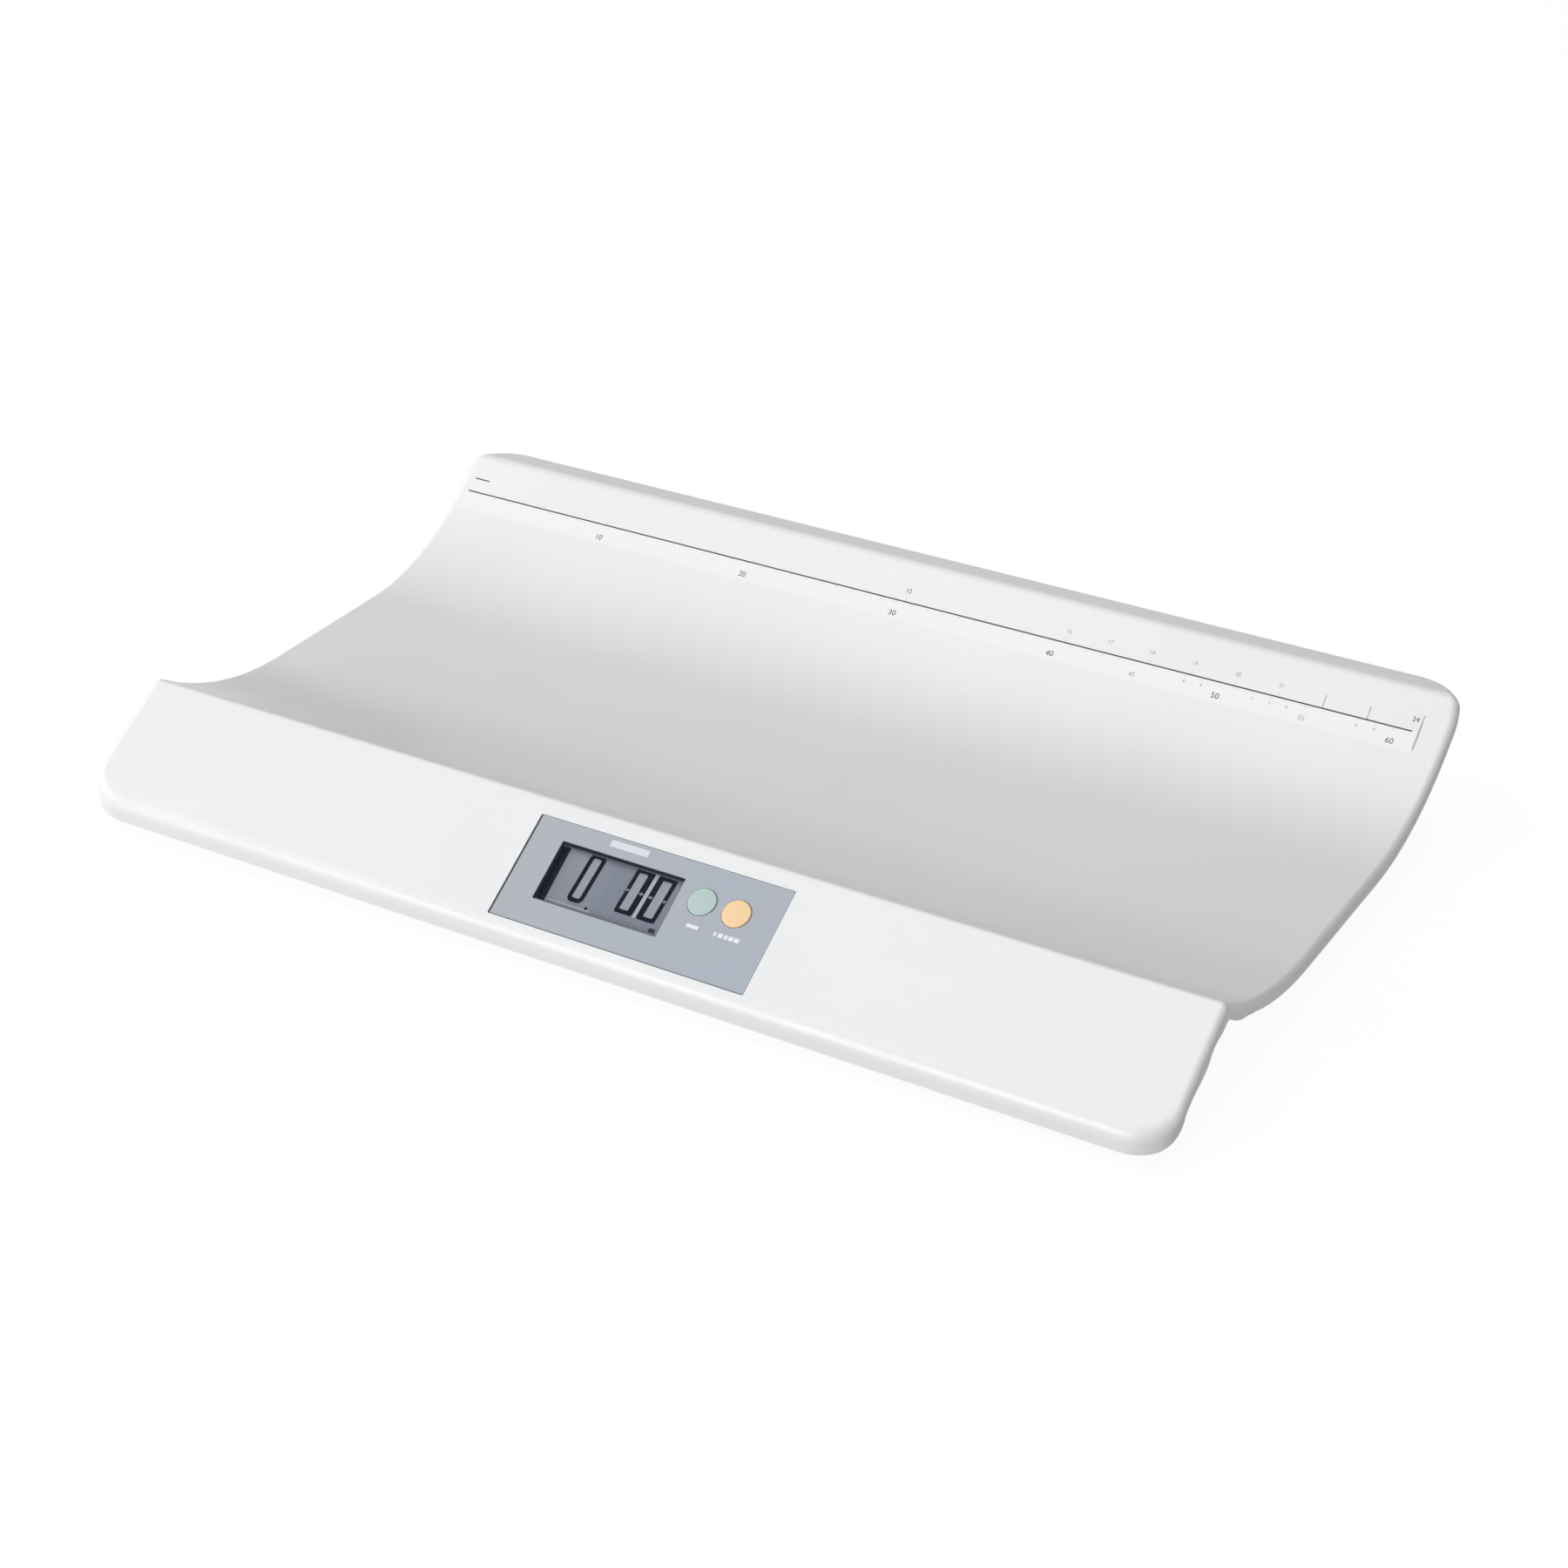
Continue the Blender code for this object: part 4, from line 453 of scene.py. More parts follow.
class Weave:
    """Short ways to join the nodes of one material."""

    def __init__(self, tree: bpy.types.NodeTree, shader: bpy.types.Node) -> None:
        """Keeps the tree and its shader, and adds the object's coordinates.

        Args:
            tree: The material's node tree.
            shader: Its Principled shader.
        """
        self.tree = tree
        self.shader = shader
        self.place = tree.nodes.new("ShaderNodeTexCoord").outputs["Object"]

    def node(self, kind: str, settings: dict | None = None, **inputs: object) -> bpy.types.Node:
        """A node of a kind.

        Args:
            kind: Blender's name of the node.
            settings: Settings of the node itself.
            inputs: Values or other nodes' outputs for its inputs, with _ for a space in their names.

        Returns:
            The node.
        """
        made = self.tree.nodes.new(kind)
        for key, value in (settings or {}).items():
            setattr(made, key, value)
        for key, value in inputs.items():
            socket = made.inputs[key.replace("_", " ")]
            if isinstance(value, bpy.types.NodeSocket):
                self.tree.links.new(value, socket)
            else:
                socket.default_value = value
        return made

    def stretched(self, scale: Triple) -> object:
        """Object coordinates scaled along each axis."""
        return self.node("ShaderNodeMapping", Vector=self.place, Scale=scale).outputs[0]

    def noise(self, scale: float, detail: float = MIDDLE_DETAIL, where: object = None) -> object:
        """Noise between 0 and 1 at a scale in turns per metre."""
        source = self.place if where is None else where
        return self.node("ShaderNodeTexNoise", Vector=source, Scale=scale, Detail=detail).outputs["Fac"]

    def between(self, value: object, low: float, high: float, start: float = 0.3, end: float = 0.7) -> object:
        """A value carried from one range to another.

        Args:
            value: Output that gives the value.
            low: What start becomes.
            high: What end becomes.
            start: Where the given range starts.
            end: Where the given range ends.

        Returns:
            The output with the carried value.
        """
        made = self.node("ShaderNodeMapRange", Value=value)
        for key, number in (("From Min", start), ("From Max", end), ("To Min", low), ("To Max", high)):
            made.inputs[key].default_value = number
        return made.outputs[0]

    def tint(self, share: object, first: Colour, second: Colour) -> None:
        """Sends the shader a colour between two.

        Args:
            share: Output with the second colour's share.
            first: Colour at a share of 0.
            second: Colour at a share of 1.
        """
        made = self.node("ShaderNodeMix", {"data_type": "RGBA"})
        sockets = [socket for socket in made.inputs if socket.type == "RGBA"]
        sockets[0].default_value = (*first, 1)
        sockets[1].default_value = (*second, 1)
        self.tree.links.new(share, made.inputs["Factor"])
        mixed = [socket for socket in made.outputs if socket.type == "RGBA"][0]
        self.tree.links.new(mixed, self.shader.inputs["Base Color"])

    def gloss(self, source: object, low: float, high: float) -> None:
        """Sends the shader a roughness that a source carries from low to high."""
        self.tree.links.new(self.between(source, low, high), self.shader.inputs["Roughness"])

    def relief(self, height: object, depth: float, strength: float = 1.0) -> None:
        """Bumps the surface by a height times a depth in metres."""
        bump = self.node("ShaderNodeBump", Height=height, Distance=depth, Strength=strength)
        self.tree.links.new(bump.outputs[0], self.shader.inputs["Normal"])


def lighter(colour: Colour, share: float) -> Colour:
    """A colour made lighter by a share, or darker by a negative one."""
    return tuple(min(1.0, channel * (1 + share)) for channel in colour)


@dataclass(frozen=True)
class MouldedPlastic(Finish):
    """Injection-moulded plastic: a fine spark-eroded grain, and faint flow in its colour and gloss."""

    grain: float = 1400.0
    depth: float = 0.00002
    flow: float = 0.012
    flow_scale: float = 9.0
    gloss_scale: float = 34.0
    gloss_spread: float = 0.03
    strength: float = 0.5

    def dress(self, weave: Weave) -> None:
        """Grain as bump, and slow noise in the colour and roughness.

        Args:
            weave: The material's nodes.
        """
        slow = weave.between(weave.noise(self.flow_scale, FINE_DETAIL), 0, 1)
        weave.tint(slow, lighter(self.colour, -self.flow), lighter(self.colour, self.flow))
        spread = self.gloss_spread
        weave.gloss(weave.noise(self.gloss_scale), self.roughness - spread, self.roughness + spread)
        weave.relief(weave.noise(self.grain, COARSE_DETAIL), self.depth, self.strength)
        weave.shader.inputs["IOR"].default_value = PLASTIC_IOR


@dataclass(frozen=True)
class PanelFilm(Finish):
    """Printed film on the panel: a hair-fine grain across it, and a slow change from grey to blue grey."""

    cool: Colour = (0.40, 0.44, 0.50)
    grain: float = 420.0
    stretch: Triple = (0.05, 1.0, 1.0)
    tint_scale: float = 14.0
    gloss_spread: float = 0.05
    depth: float = 0.00001
    strength: float = 0.4

    def dress(self, weave: Weave) -> None:
        """Stretched noise along X for the grain and slow noise for the tint.

        Args:
            weave: The material's nodes.
        """
        grain = weave.noise(self.grain, FINE_DETAIL, weave.stretched(self.stretch))
        weave.tint(weave.between(weave.noise(self.tint_scale, COARSE_DETAIL), 0, 1), self.colour, self.cool)
        weave.gloss(grain, self.roughness - self.gloss_spread, self.roughness + self.gloss_spread)
        weave.relief(grain, self.depth, self.strength)


@dataclass(frozen=True)
class DisplayCell(Finish):
    """A grey liquid-crystal cell: faint upright bands and a slow fall from light to dark."""

    dark: Colour = (0.25, 0.28, 0.34)
    light_end: float = -0.0382
    dark_end: float = 0.0100
    dark_share: float = 0.25
    band_scale: float = 160.0
    band_stretch: Triple = (1.0, 0.06, 0.06)
    band_share: float = 0.6

    def dress(self, weave: Weave) -> None:
        """Noise stretched up the panel for the bands, over a fall along X.

        Args:
            weave: The material's nodes.
        """
        bands = weave.noise(self.band_scale, where=weave.stretched(self.band_stretch))
        along = weave.node("ShaderNodeSeparateXYZ", Vector=weave.place).outputs["X"]
        fall = weave.between(along, 1, self.dark_share, self.light_end, self.dark_end)
        share = maths(weave.tree, "MULTIPLY", weave.between(bands, self.band_share, 1), fall)
        weave.tint(share, self.dark, self.colour)


@dataclass(frozen=True)
class ClearPlate(Finish):
    """A thin clear plate, with light smears that catch in its gloss."""

    alpha: float = 0.10
    smear_scale: float = 40.0
    smear: float = 0.06

    def dress(self, weave: Weave) -> None:
        """Low alpha lets the display show through; noise smears the roughness.

        Args:
            weave: The material's nodes.
        """
        weave.shader.inputs["Alpha"].default_value = self.alpha
        weave.shader.inputs["IOR"].default_value = PLASTIC_IOR
        weave.gloss(weave.noise(self.smear_scale), self.roughness, self.roughness + self.smear)


@dataclass(frozen=True)
class SoftRubber(Finish):
    """Black rubber with a matt, dusty grain."""

    dust: float = 0.8
    dust_scale: float = 120.0
    grain: float = 2400.0
    depth: float = 0.00003
    strength: float = 0.6

    def dress(self, weave: Weave) -> None:
        """Fine noise in the relief and slow noise in the tone.

        Args:
            weave: The material's nodes.
        """
        dust = weave.between(weave.noise(self.dust_scale, FINE_DETAIL), 0, 1)
        weave.tint(dust, self.colour, lighter(self.colour, self.dust))
        weave.relief(weave.noise(self.grain), self.depth, self.strength)


@dataclass(frozen=True)
class PlatedSteel(Finish):
    """Plated steel with a fine rolled grain along X."""

    grain: float = 900.0
    stretch: Triple = (0.08, 1.0, 1.0)
    gloss_spread: float = 0.08
    depth: float = 0.000008
    strength: float = 0.5

    def dress(self, weave: Weave) -> None:
        """Stretched noise varies the gloss and scratches the relief.

        Args:
            weave: The material's nodes.
        """
        weave.shader.inputs["Metallic"].default_value = 1.0
        grain = weave.noise(self.grain, where=weave.stretched(self.stretch))
        weave.gloss(grain, self.roughness - self.gloss_spread, self.roughness + self.gloss_spread)
        weave.relief(grain, self.depth, self.strength)


@dataclass(frozen=True)
class BoardLaminate(Finish):
    """Green circuit board: lacquer over straight copper tracks."""

    track: Colour = (0.05, 0.30, 0.14)
    track_scale: float = 420.0
    track_edge: Pair = (0.42, 0.48)
    depth: float = 0.00003
    strength: float = 0.5

    def dress(self, weave: Weave) -> None:
        """Square cells, whose borders are the tracks.

        Args:
            weave: The material's nodes.
        """
        square = {"distance": "CHEBYCHEV"}
        cells = weave.node("ShaderNodeTexVoronoi", square, Vector=weave.place, Scale=self.track_scale)
        tracks = weave.between(cells.outputs["Distance"], 0, 1, *self.track_edge)
        weave.tint(tracks, self.colour, self.track)
        weave.relief(tracks, self.depth, self.strength)


@dataclass(frozen=True)
class WrappedCan(Finish):
    """Printed wrap of a battery cell: a dark body and a light band at one end."""

    band: Colour = (0.78, 0.62, 0.20)
    centre: float = 0.0
    band_start: float = 0.0118
    band_end: float = 0.0120
    scuff_scale: float = 60.0
    scuffs: Pair = (0.25, 0.34)

    def dress(self, weave: Weave) -> None:
        """A step along X, counted from the cell's own middle, picks the band.

        Args:
            weave: The material's nodes.
        """
        along = weave.node("ShaderNodeSeparateXYZ", Vector=weave.place).outputs["X"]
        step = weave.between(along, 0, 1, self.centre + self.band_start, self.centre + self.band_end)
        weave.tint(step, self.colour, self.band)
        weave.gloss(weave.noise(self.scuff_scale), *self.scuffs)


@dataclass(frozen=True)
class Ink(Finish):
    """Printed ink, a little uneven in its tone as pad printing is."""

    fade: float = 0.15
    patch_scale: float = 700.0

    def dress(self, weave: Weave) -> None:
        """Fine noise lightens the ink here and there."""
        patchy = weave.between(weave.noise(self.patch_scale), 0, 1)
        weave.tint(patchy, self.colour, lighter(self.colour, self.fade))


@dataclass(frozen=True)
class DisplayInk(Ink):
    """What a display shows, and the painted shade in its well: ink under the glass, with no gloss of its own.
    """

    def dress(self, weave: Weave) -> None:
        """The ink's fine noise, and no specular."""
        super().dress(weave)
        weave.shader.inputs["Specular IOR Level"].default_value = 0.0


@dataclass(frozen=True)
class LeadJacket(Finish):
    """Soft insulation of a thin lead."""

    gloss_scale: float = 200.0
    gloss_spread: float = 0.08

    def dress(self, weave: Weave) -> None:
        """Slow noise in the gloss."""
        spread = self.gloss_spread
        weave.gloss(weave.noise(self.gloss_scale), self.roughness - spread, self.roughness + spread)


class Palette:
    """The finishes that the pieces wear."""

    TRAY = MouldedPlastic("tray_white", (0.835, 0.837, 0.842), 0.34)
    SHELL = MouldedPlastic("housing_white", (0.74, 0.745, 0.75), 0.42, depth=0.00004)
    FOOT = MouldedPlastic("foot_white", (0.66, 0.665, 0.67), 0.45, depth=0.00004)
    PANEL = PanelFilm("panel_film", (0.43, 0.44, 0.475), 0.42)
    BEZEL = MouldedPlastic("bezel_grey", (0.22, 0.24, 0.28), 0.5)
    # Near-black painted shade for the walls, rims and left end of the display's well.
    WELL_PAINTED_SHADE = DisplayInk("well_painted_shade", (0.020, 0.022, 0.036), 0.6, 0.3)
    CASE = MouldedPlastic("case_black", (0.03, 0.03, 0.035), 0.45)
    HEADER = MouldedPlastic("header_ivory", (0.72, 0.68, 0.56), 0.5)
    CELL = DisplayCell("display_cell", (0.42, 0.455, 0.52), 0.30)
    CELL_LIGHT = DisplayInk("display_cell_light", (0.44, 0.475, 0.53), 0.5, 0.08)
    CLEAR = ClearPlate("clear_plate", (0.05, 0.055, 0.07), 0.04)
    FIGURE = DisplayInk("figure_black", (0.010, 0.012, 0.024), 0.6, 0.3)
    FIGURE_SOFT = DisplayInk("figure_grey", (0.055, 0.062, 0.080), 0.6, 0.3)
    FIGURE_PALE = DisplayInk("figure_pale", (0.58, 0.62, 0.66), 0.6, 0.1)
    MARK = Ink("mark_white", (0.80, 0.82, 0.85), 0.5, 0.06)
    BAR = Ink("bar_white", (0.69, 0.715, 0.755), 0.5, 0.04)
    EDGE = Ink("panel_edge_line", (0.030, 0.030, 0.038), 0.5)
    EDGE_SOFT = Ink("panel_edge_grey", (0.22, 0.23, 0.26), 0.5)
    RULER = Ink("ruler_ink", (0.030, 0.030, 0.034), 0.5, 0.3)
    # A band a shade lighter than the tray, under the ruler's line.
    RULER_BAND = Ink("ruler_pale_band", (0.862, 0.864, 0.870), 0.34, 0.01)
    RULER_SOFT = Ink("ruler_ink_soft", (0.34, 0.34, 0.36), 0.5, 0.2)
    RULER_FAINT = Ink("ruler_ink_faint", (0.60, 0.60, 0.62), 0.5, 0.1)
    GREEN = MouldedPlastic("green_plastic", (0.46, 0.575, 0.55), 0.42, flow=0.04)
    ORANGE = MouldedPlastic("orange_plastic", (0.93, 0.64, 0.36), 0.42, flow=0.04)
    RUBBER = SoftRubber("pad_rubber", (0.022, 0.022, 0.024), 0.85)
    STEEL = PlatedSteel("plated_steel", (0.60, 0.60, 0.59), 0.30)
    BOARD = BoardLaminate("green_laminate", (0.02, 0.16, 0.07), 0.35)
    RED_LEAD = LeadJacket("red_jacket", (0.50, 0.03, 0.02), 0.5)
    BLACK_LEAD = LeadJacket("black_jacket", (0.02, 0.02, 0.02), 0.5)
    PALE_LEAD = LeadJacket("pale_jacket", (0.72, 0.72, 0.68), 0.5)


# The tray


@dataclass
class Section:
    """Upper face of the tray in the YZ plane: apron, crest, trough, back wall and lip."""

    crest_height: float = 0.0600
    crest_radius: float = 0.0035
    apron_reach: float = 0.0649
    apron_slope: float = math.radians(32.0)
    trough_drop: float = 0.0305
    front_wall_slope: float = math.radians(32.3)
    front_sweep: float = 0.1800
    back_wall_slope: float = math.radians(42.0)
    back_sweep: float = 0.1400
    back_reach: float = 0.3190
    back_wall_rise: float = 0.0510
    lip_width: float = 0.0170
    lip_sweep: float = 0.0080
    lip_fall: float = 0.0006
    front_roll: float = 0.0100
    lip_roll: float = 0.0040
    corner_share: float = 0.95
    arc_steps: tuple[int, ...] = (10, 28, 36, 14)
    mid_y: float = field(init=False)
    front_y: float = field(init=False)
    back_y: float = field(init=False)
    roll_start_y: float = field(init=False)
    floor: float = field(init=False)
    lip_height: float = field(init=False)
    line: Array = field(init=False)
    run: Array = field(init=False)

    def __post_init__(self) -> None:
        """Works out the places of the section's main edges, its line and the distance run along it."""
        self.mid_y = (self.apron_reach - self.back_reach) / 2
        self.front_y = self.mid_y - self.apron_reach
        self.back_y = self.mid_y + self.back_reach
        self.roll_start_y = self.front_y + self.front_roll * (1 - math.sin(self.apron_slope))
        self.floor = self.crest_height - self.trough_drop
        self.lip_height = self.floor + self.back_wall_rise
        self.line = self._filleted()
        self.run = np.concatenate([[0], np.cumsum(np.linalg.norm(np.diff(self.line, axis=0), axis=1))])

    def _filleted(self) -> Array:
        """The section's corners with an arc in place of each inner one.

        An arc touches both sides at radius / tan(half the corner's angle) from the corner, or at a
        share of the shorter side where that is less.

        Returns:
            Places (y, z) from the apron's lower end to the lip's back edge.
        """
        wall_top = self.back_y - self.lip_width
        apron_drop = (self.mid_y - self.roll_start_y) * math.tan(self.apron_slope)
        corners = np.array([
            (self.roll_start_y, self.crest_height - apron_drop),
            (self.mid_y, self.crest_height),
            (self.mid_y + self.trough_drop / math.tan(self.front_wall_slope), self.floor),
            (wall_top - self.back_wall_rise / math.tan(self.back_wall_slope), self.floor),
            (wall_top, self.lip_height),
            (self.back_y - self.lip_roll, self.lip_height - self.lip_fall),
        ])
        radii = self.crest_radius, self.front_sweep, self.back_sweep, self.lip_sweep
        pieces = [corners[:1]]
        trios = zip(corners, corners[1:], corners[2:], radii, self.arc_steps)
        for before, corner, after, radius, steps in trios:
            lengths = np.linalg.norm([before - corner, after - corner], axis=1)
            to_before, to_after = (before - corner) / lengths[0], (after - corner) / lengths[1]
            half_angle = math.acos(float(np.clip(to_before @ to_after, -1, 1))) / 2
            reach = min(radius / math.tan(half_angle), self.corner_share * lengths.min())
            inward = (to_before + to_after) / np.linalg.norm(to_before + to_after)
            centre = corner + inward * reach / math.cos(half_angle)
            ends = corner + to_before * reach - centre, corner + to_after * reach - centre
            pieces.append(arc(centre, *ends, math.pi - 2 * half_angle, steps))
        pieces.append(corners[-1:])
        return np.concatenate(pieces)

    def height(self, y: Array) -> Array:
        """Height of the face at y."""
        return np.interp(y, self.line[:, 0], self.line[:, 1])

    def slope(self, y: Array) -> Array:
        """Rise of the face per metre of y."""
        return np.interp(y, self.line[:, 0], np.gradient(self.line[:, 1], self.line[:, 0]))

    def along(self, y: float, distance: Array) -> tuple[Array, Array]:
        """Places along the face, measured up towards the back.

        Args:
            y: Where the distances start.
            distance: Distances along the face.

        Returns:
            The y and the z of each place.
        """
        start = np.interp(y, self.line[:, 0], self.run)
        reach = start + np.asarray(distance)
        return np.interp(reach, self.run, self.line[:, 0]), np.interp(reach, self.run, self.line[:, 1])


@dataclass
class TrayShell:
    """The one-piece tray: the section carried along X, its edges rolled over into a skirt."""

    section: Section
    length: float = 0.6380
    wall: float = 0.0025
    apron_flare: float = 0.0010
    edge_height: float = 0.0084
    side_roll: float = 0.0044
    least_skirt: float = 0.0008
    rim_depth: float = 0.0055
    edge_bevel: float = 0.0006
    edge_bevel_steps: int = 3
    sharp_degrees: float = 30.0
    rim_line: tuple[Pair, ...] = (
        (-0.0400, 0.0060), (-0.0230, 0.0085), (-0.0160, 0.0055),
        (-0.0040, 0.0085), (0.0100, 0.0090), (0.0300, 0.0064),
    )
    back_corner: float = 0.0260
    front_corner_width: float = 0.0200
    front_corner_depth: float = 0.0150
    corner_steps: int = 14
    crest_reach: Pair = (-0.0450, 0.0350)
    crest_rows: int = 33
    least_row: float = 0.0002
    roll_steps: int = 10
    skirt_steps: int = 3

    def half_length(self, y: Array) -> Array:
        """Half the length of the top face.

        Both corners are quarter ellipses: inset = width (1 - sqrt(1 - run^2)).

        Args:
            y: Rows of the face.

        Returns:
            One half length for each row.
        """
        s = self.section
        back_run = np.clip((y - (s.back_y - s.lip_roll - self.back_corner)) / self.back_corner, 0, 1)
        front_run = np.clip((s.roll_start_y + self.front_corner_depth - y) / self.front_corner_depth, 0, 1)
        flare = self.apron_flare * np.clip((s.mid_y - y) / s.apron_reach, 0, 1)
        back_inset = self.back_corner * (1 - np.sqrt(1 - back_run**2))
        front_inset = self.front_corner_width * (1 - np.sqrt(1 - front_run**2))
        return self.length / 2 + flare - self.side_roll - back_inset - front_inset

    def rim_bottom(self, y: Array) -> Array:
        """Height of the skirt's lower edge: even along the trough, wavy at the crest, low at the front.

        Args:
            y: Places along the edge.

        Returns:
            One height for each place.
        """
        s = self.section
        places, depths = np.array(self.rim_line).T
        even = self.rim_depth * np.sqrt(1 + s.slope(y) ** 2)
        depth = np.where(y > s.mid_y + places[-1], even, eased(y - s.mid_y, places, depths))
        corner_start = s.roll_start_y + self.front_corner_depth
        share = np.clip((corner_start - y) / (corner_start - s.front_y), 0, 1)
        return (s.height(y) - depth) * (1 - share) + self.edge_height * share

    def rows(self) -> Array:
        """The rows of the top face, closer where its outline or its rim bends.

        Returns:
            Rising places y.
        """
        s = self.section
        before, behind = self.crest_reach
        corner = 1 - np.sin(QUARTER * np.arange(self.corner_steps) / self.corner_steps)
        wanted = np.concatenate([
            s.line[:, 0],
            s.roll_start_y + self.front_corner_depth * corner,
            s.back_y - s.lip_roll - self.back_corner * corner,
            np.linspace(s.mid_y + before, s.mid_y + behind, self.crest_rows),
        ])
        wanted = np.sort(wanted[wanted >= s.roll_start_y])
        keep = np.concatenate([[True], np.diff(wanted) > self.least_row])
        keep[-1] = True
        return wanted[keep]

    def surface(self) -> bpy.types.Mesh:
        """The outside as one open surface.

        The plan outline is moved outwards along its mitred normal by roll (sin a - sin a0) and down by
        roll (cos a0 - cos a), where a runs from the face's own slope a0 to a right angle; the skirt then
        drops straight to the rim line.

        Returns:
            The mesh of the top face, the rolled edge and the skirt.
        """
        rows = self.rows()
        half = self.half_length(rows)
        plan = np.concatenate([np.stack([half, rows], 1), np.stack([-half, rows], 1)[::-1]])
        top = self.section.height(plan[:, 1])
        edge = np.roll(plan, -1, 0) - plan
        edge /= np.linalg.norm(edge, axis=1)[:, None]
        square = np.stack([edge[:, 1], -edge[:, 0]], 1)
        outward = square + np.roll(square, 1, 0)
        outward /= np.linalg.norm(outward, axis=1)[:, None]
        mitre = 1 / np.sum(outward * square, axis=1)

        start = np.arctan(-self.section.slope(plan[:, 1]) * outward[:, 1])
        front, back = np.clip(-outward[:, 1], 0, 1), np.clip(outward[:, 1], 0, 1)
        roll = front * self.section.front_roll + back * self.section.lip_roll
        roll += (1 - front - back) * self.side_roll
        share = np.arange(1, self.roll_steps + 1)[:, None] / self.roll_steps
        angle = start + (QUARTER - start) * share
        out = roll * (np.sin(angle) - np.sin(start)) * mitre
        down = roll * (np.cos(start) - np.cos(angle))
        rolled = np.concatenate([plan + outward * out[..., None], (top - down)[..., None]], axis=2)
        low = np.minimum(self.rim_bottom(rolled[-1, :, 1]), rolled[-1, :, 2] - self.least_skirt)
        drop = np.arange(1, self.skirt_steps + 1)[:, None] / self.skirt_steps
        skirt = np.repeat(rolled[-1:], self.skirt_steps, axis=0)
        skirt[..., 2] = rolled[-1, :, 2] * (1 - drop) + low * drop
        loops = np.concatenate([np.column_stack([plan, top])[None], rolled, skirt])

        count = len(plan)
        across = np.arange(len(rows) - 1)
        face = np.stack([across, across + 1, count - 2 - across, count - 1 - across], axis=1)
        edge_faces = grid_faces(len(loops), count, Joint.RING)[:, [0, 3, 2, 1]]
        return mesh_of("tray_moulding", loops.reshape(-1, 3), np.concatenate([face, edge_faces]))

    def build(self, panel: "ControlPanel") -> bpy.types.Object:
        """The moulding with its wall, and with the room that the panel, window and buttons need.

        Args:
            panel: The panel that is let into the apron.

        Returns:
            The tray.
        """
        tray = new_object("tray_moulding", self.surface())
        wall = tray.modifiers.new("wall", "SOLIDIFY")
        wall.thickness = self.wall
        wall.offset = -1
        wall.use_even_offset = True
        bevelled(tray, self.edge_bevel, self.edge_bevel_steps).modifiers["soft_edges"].harden_normals = False
        cut_with(tray, panel.cutters(self.wall))
        settle(even_normals(shade(tray, self.sharp_degrees)))
        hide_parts("tray_shell")
        return wear(tray, Palette.TRAY)


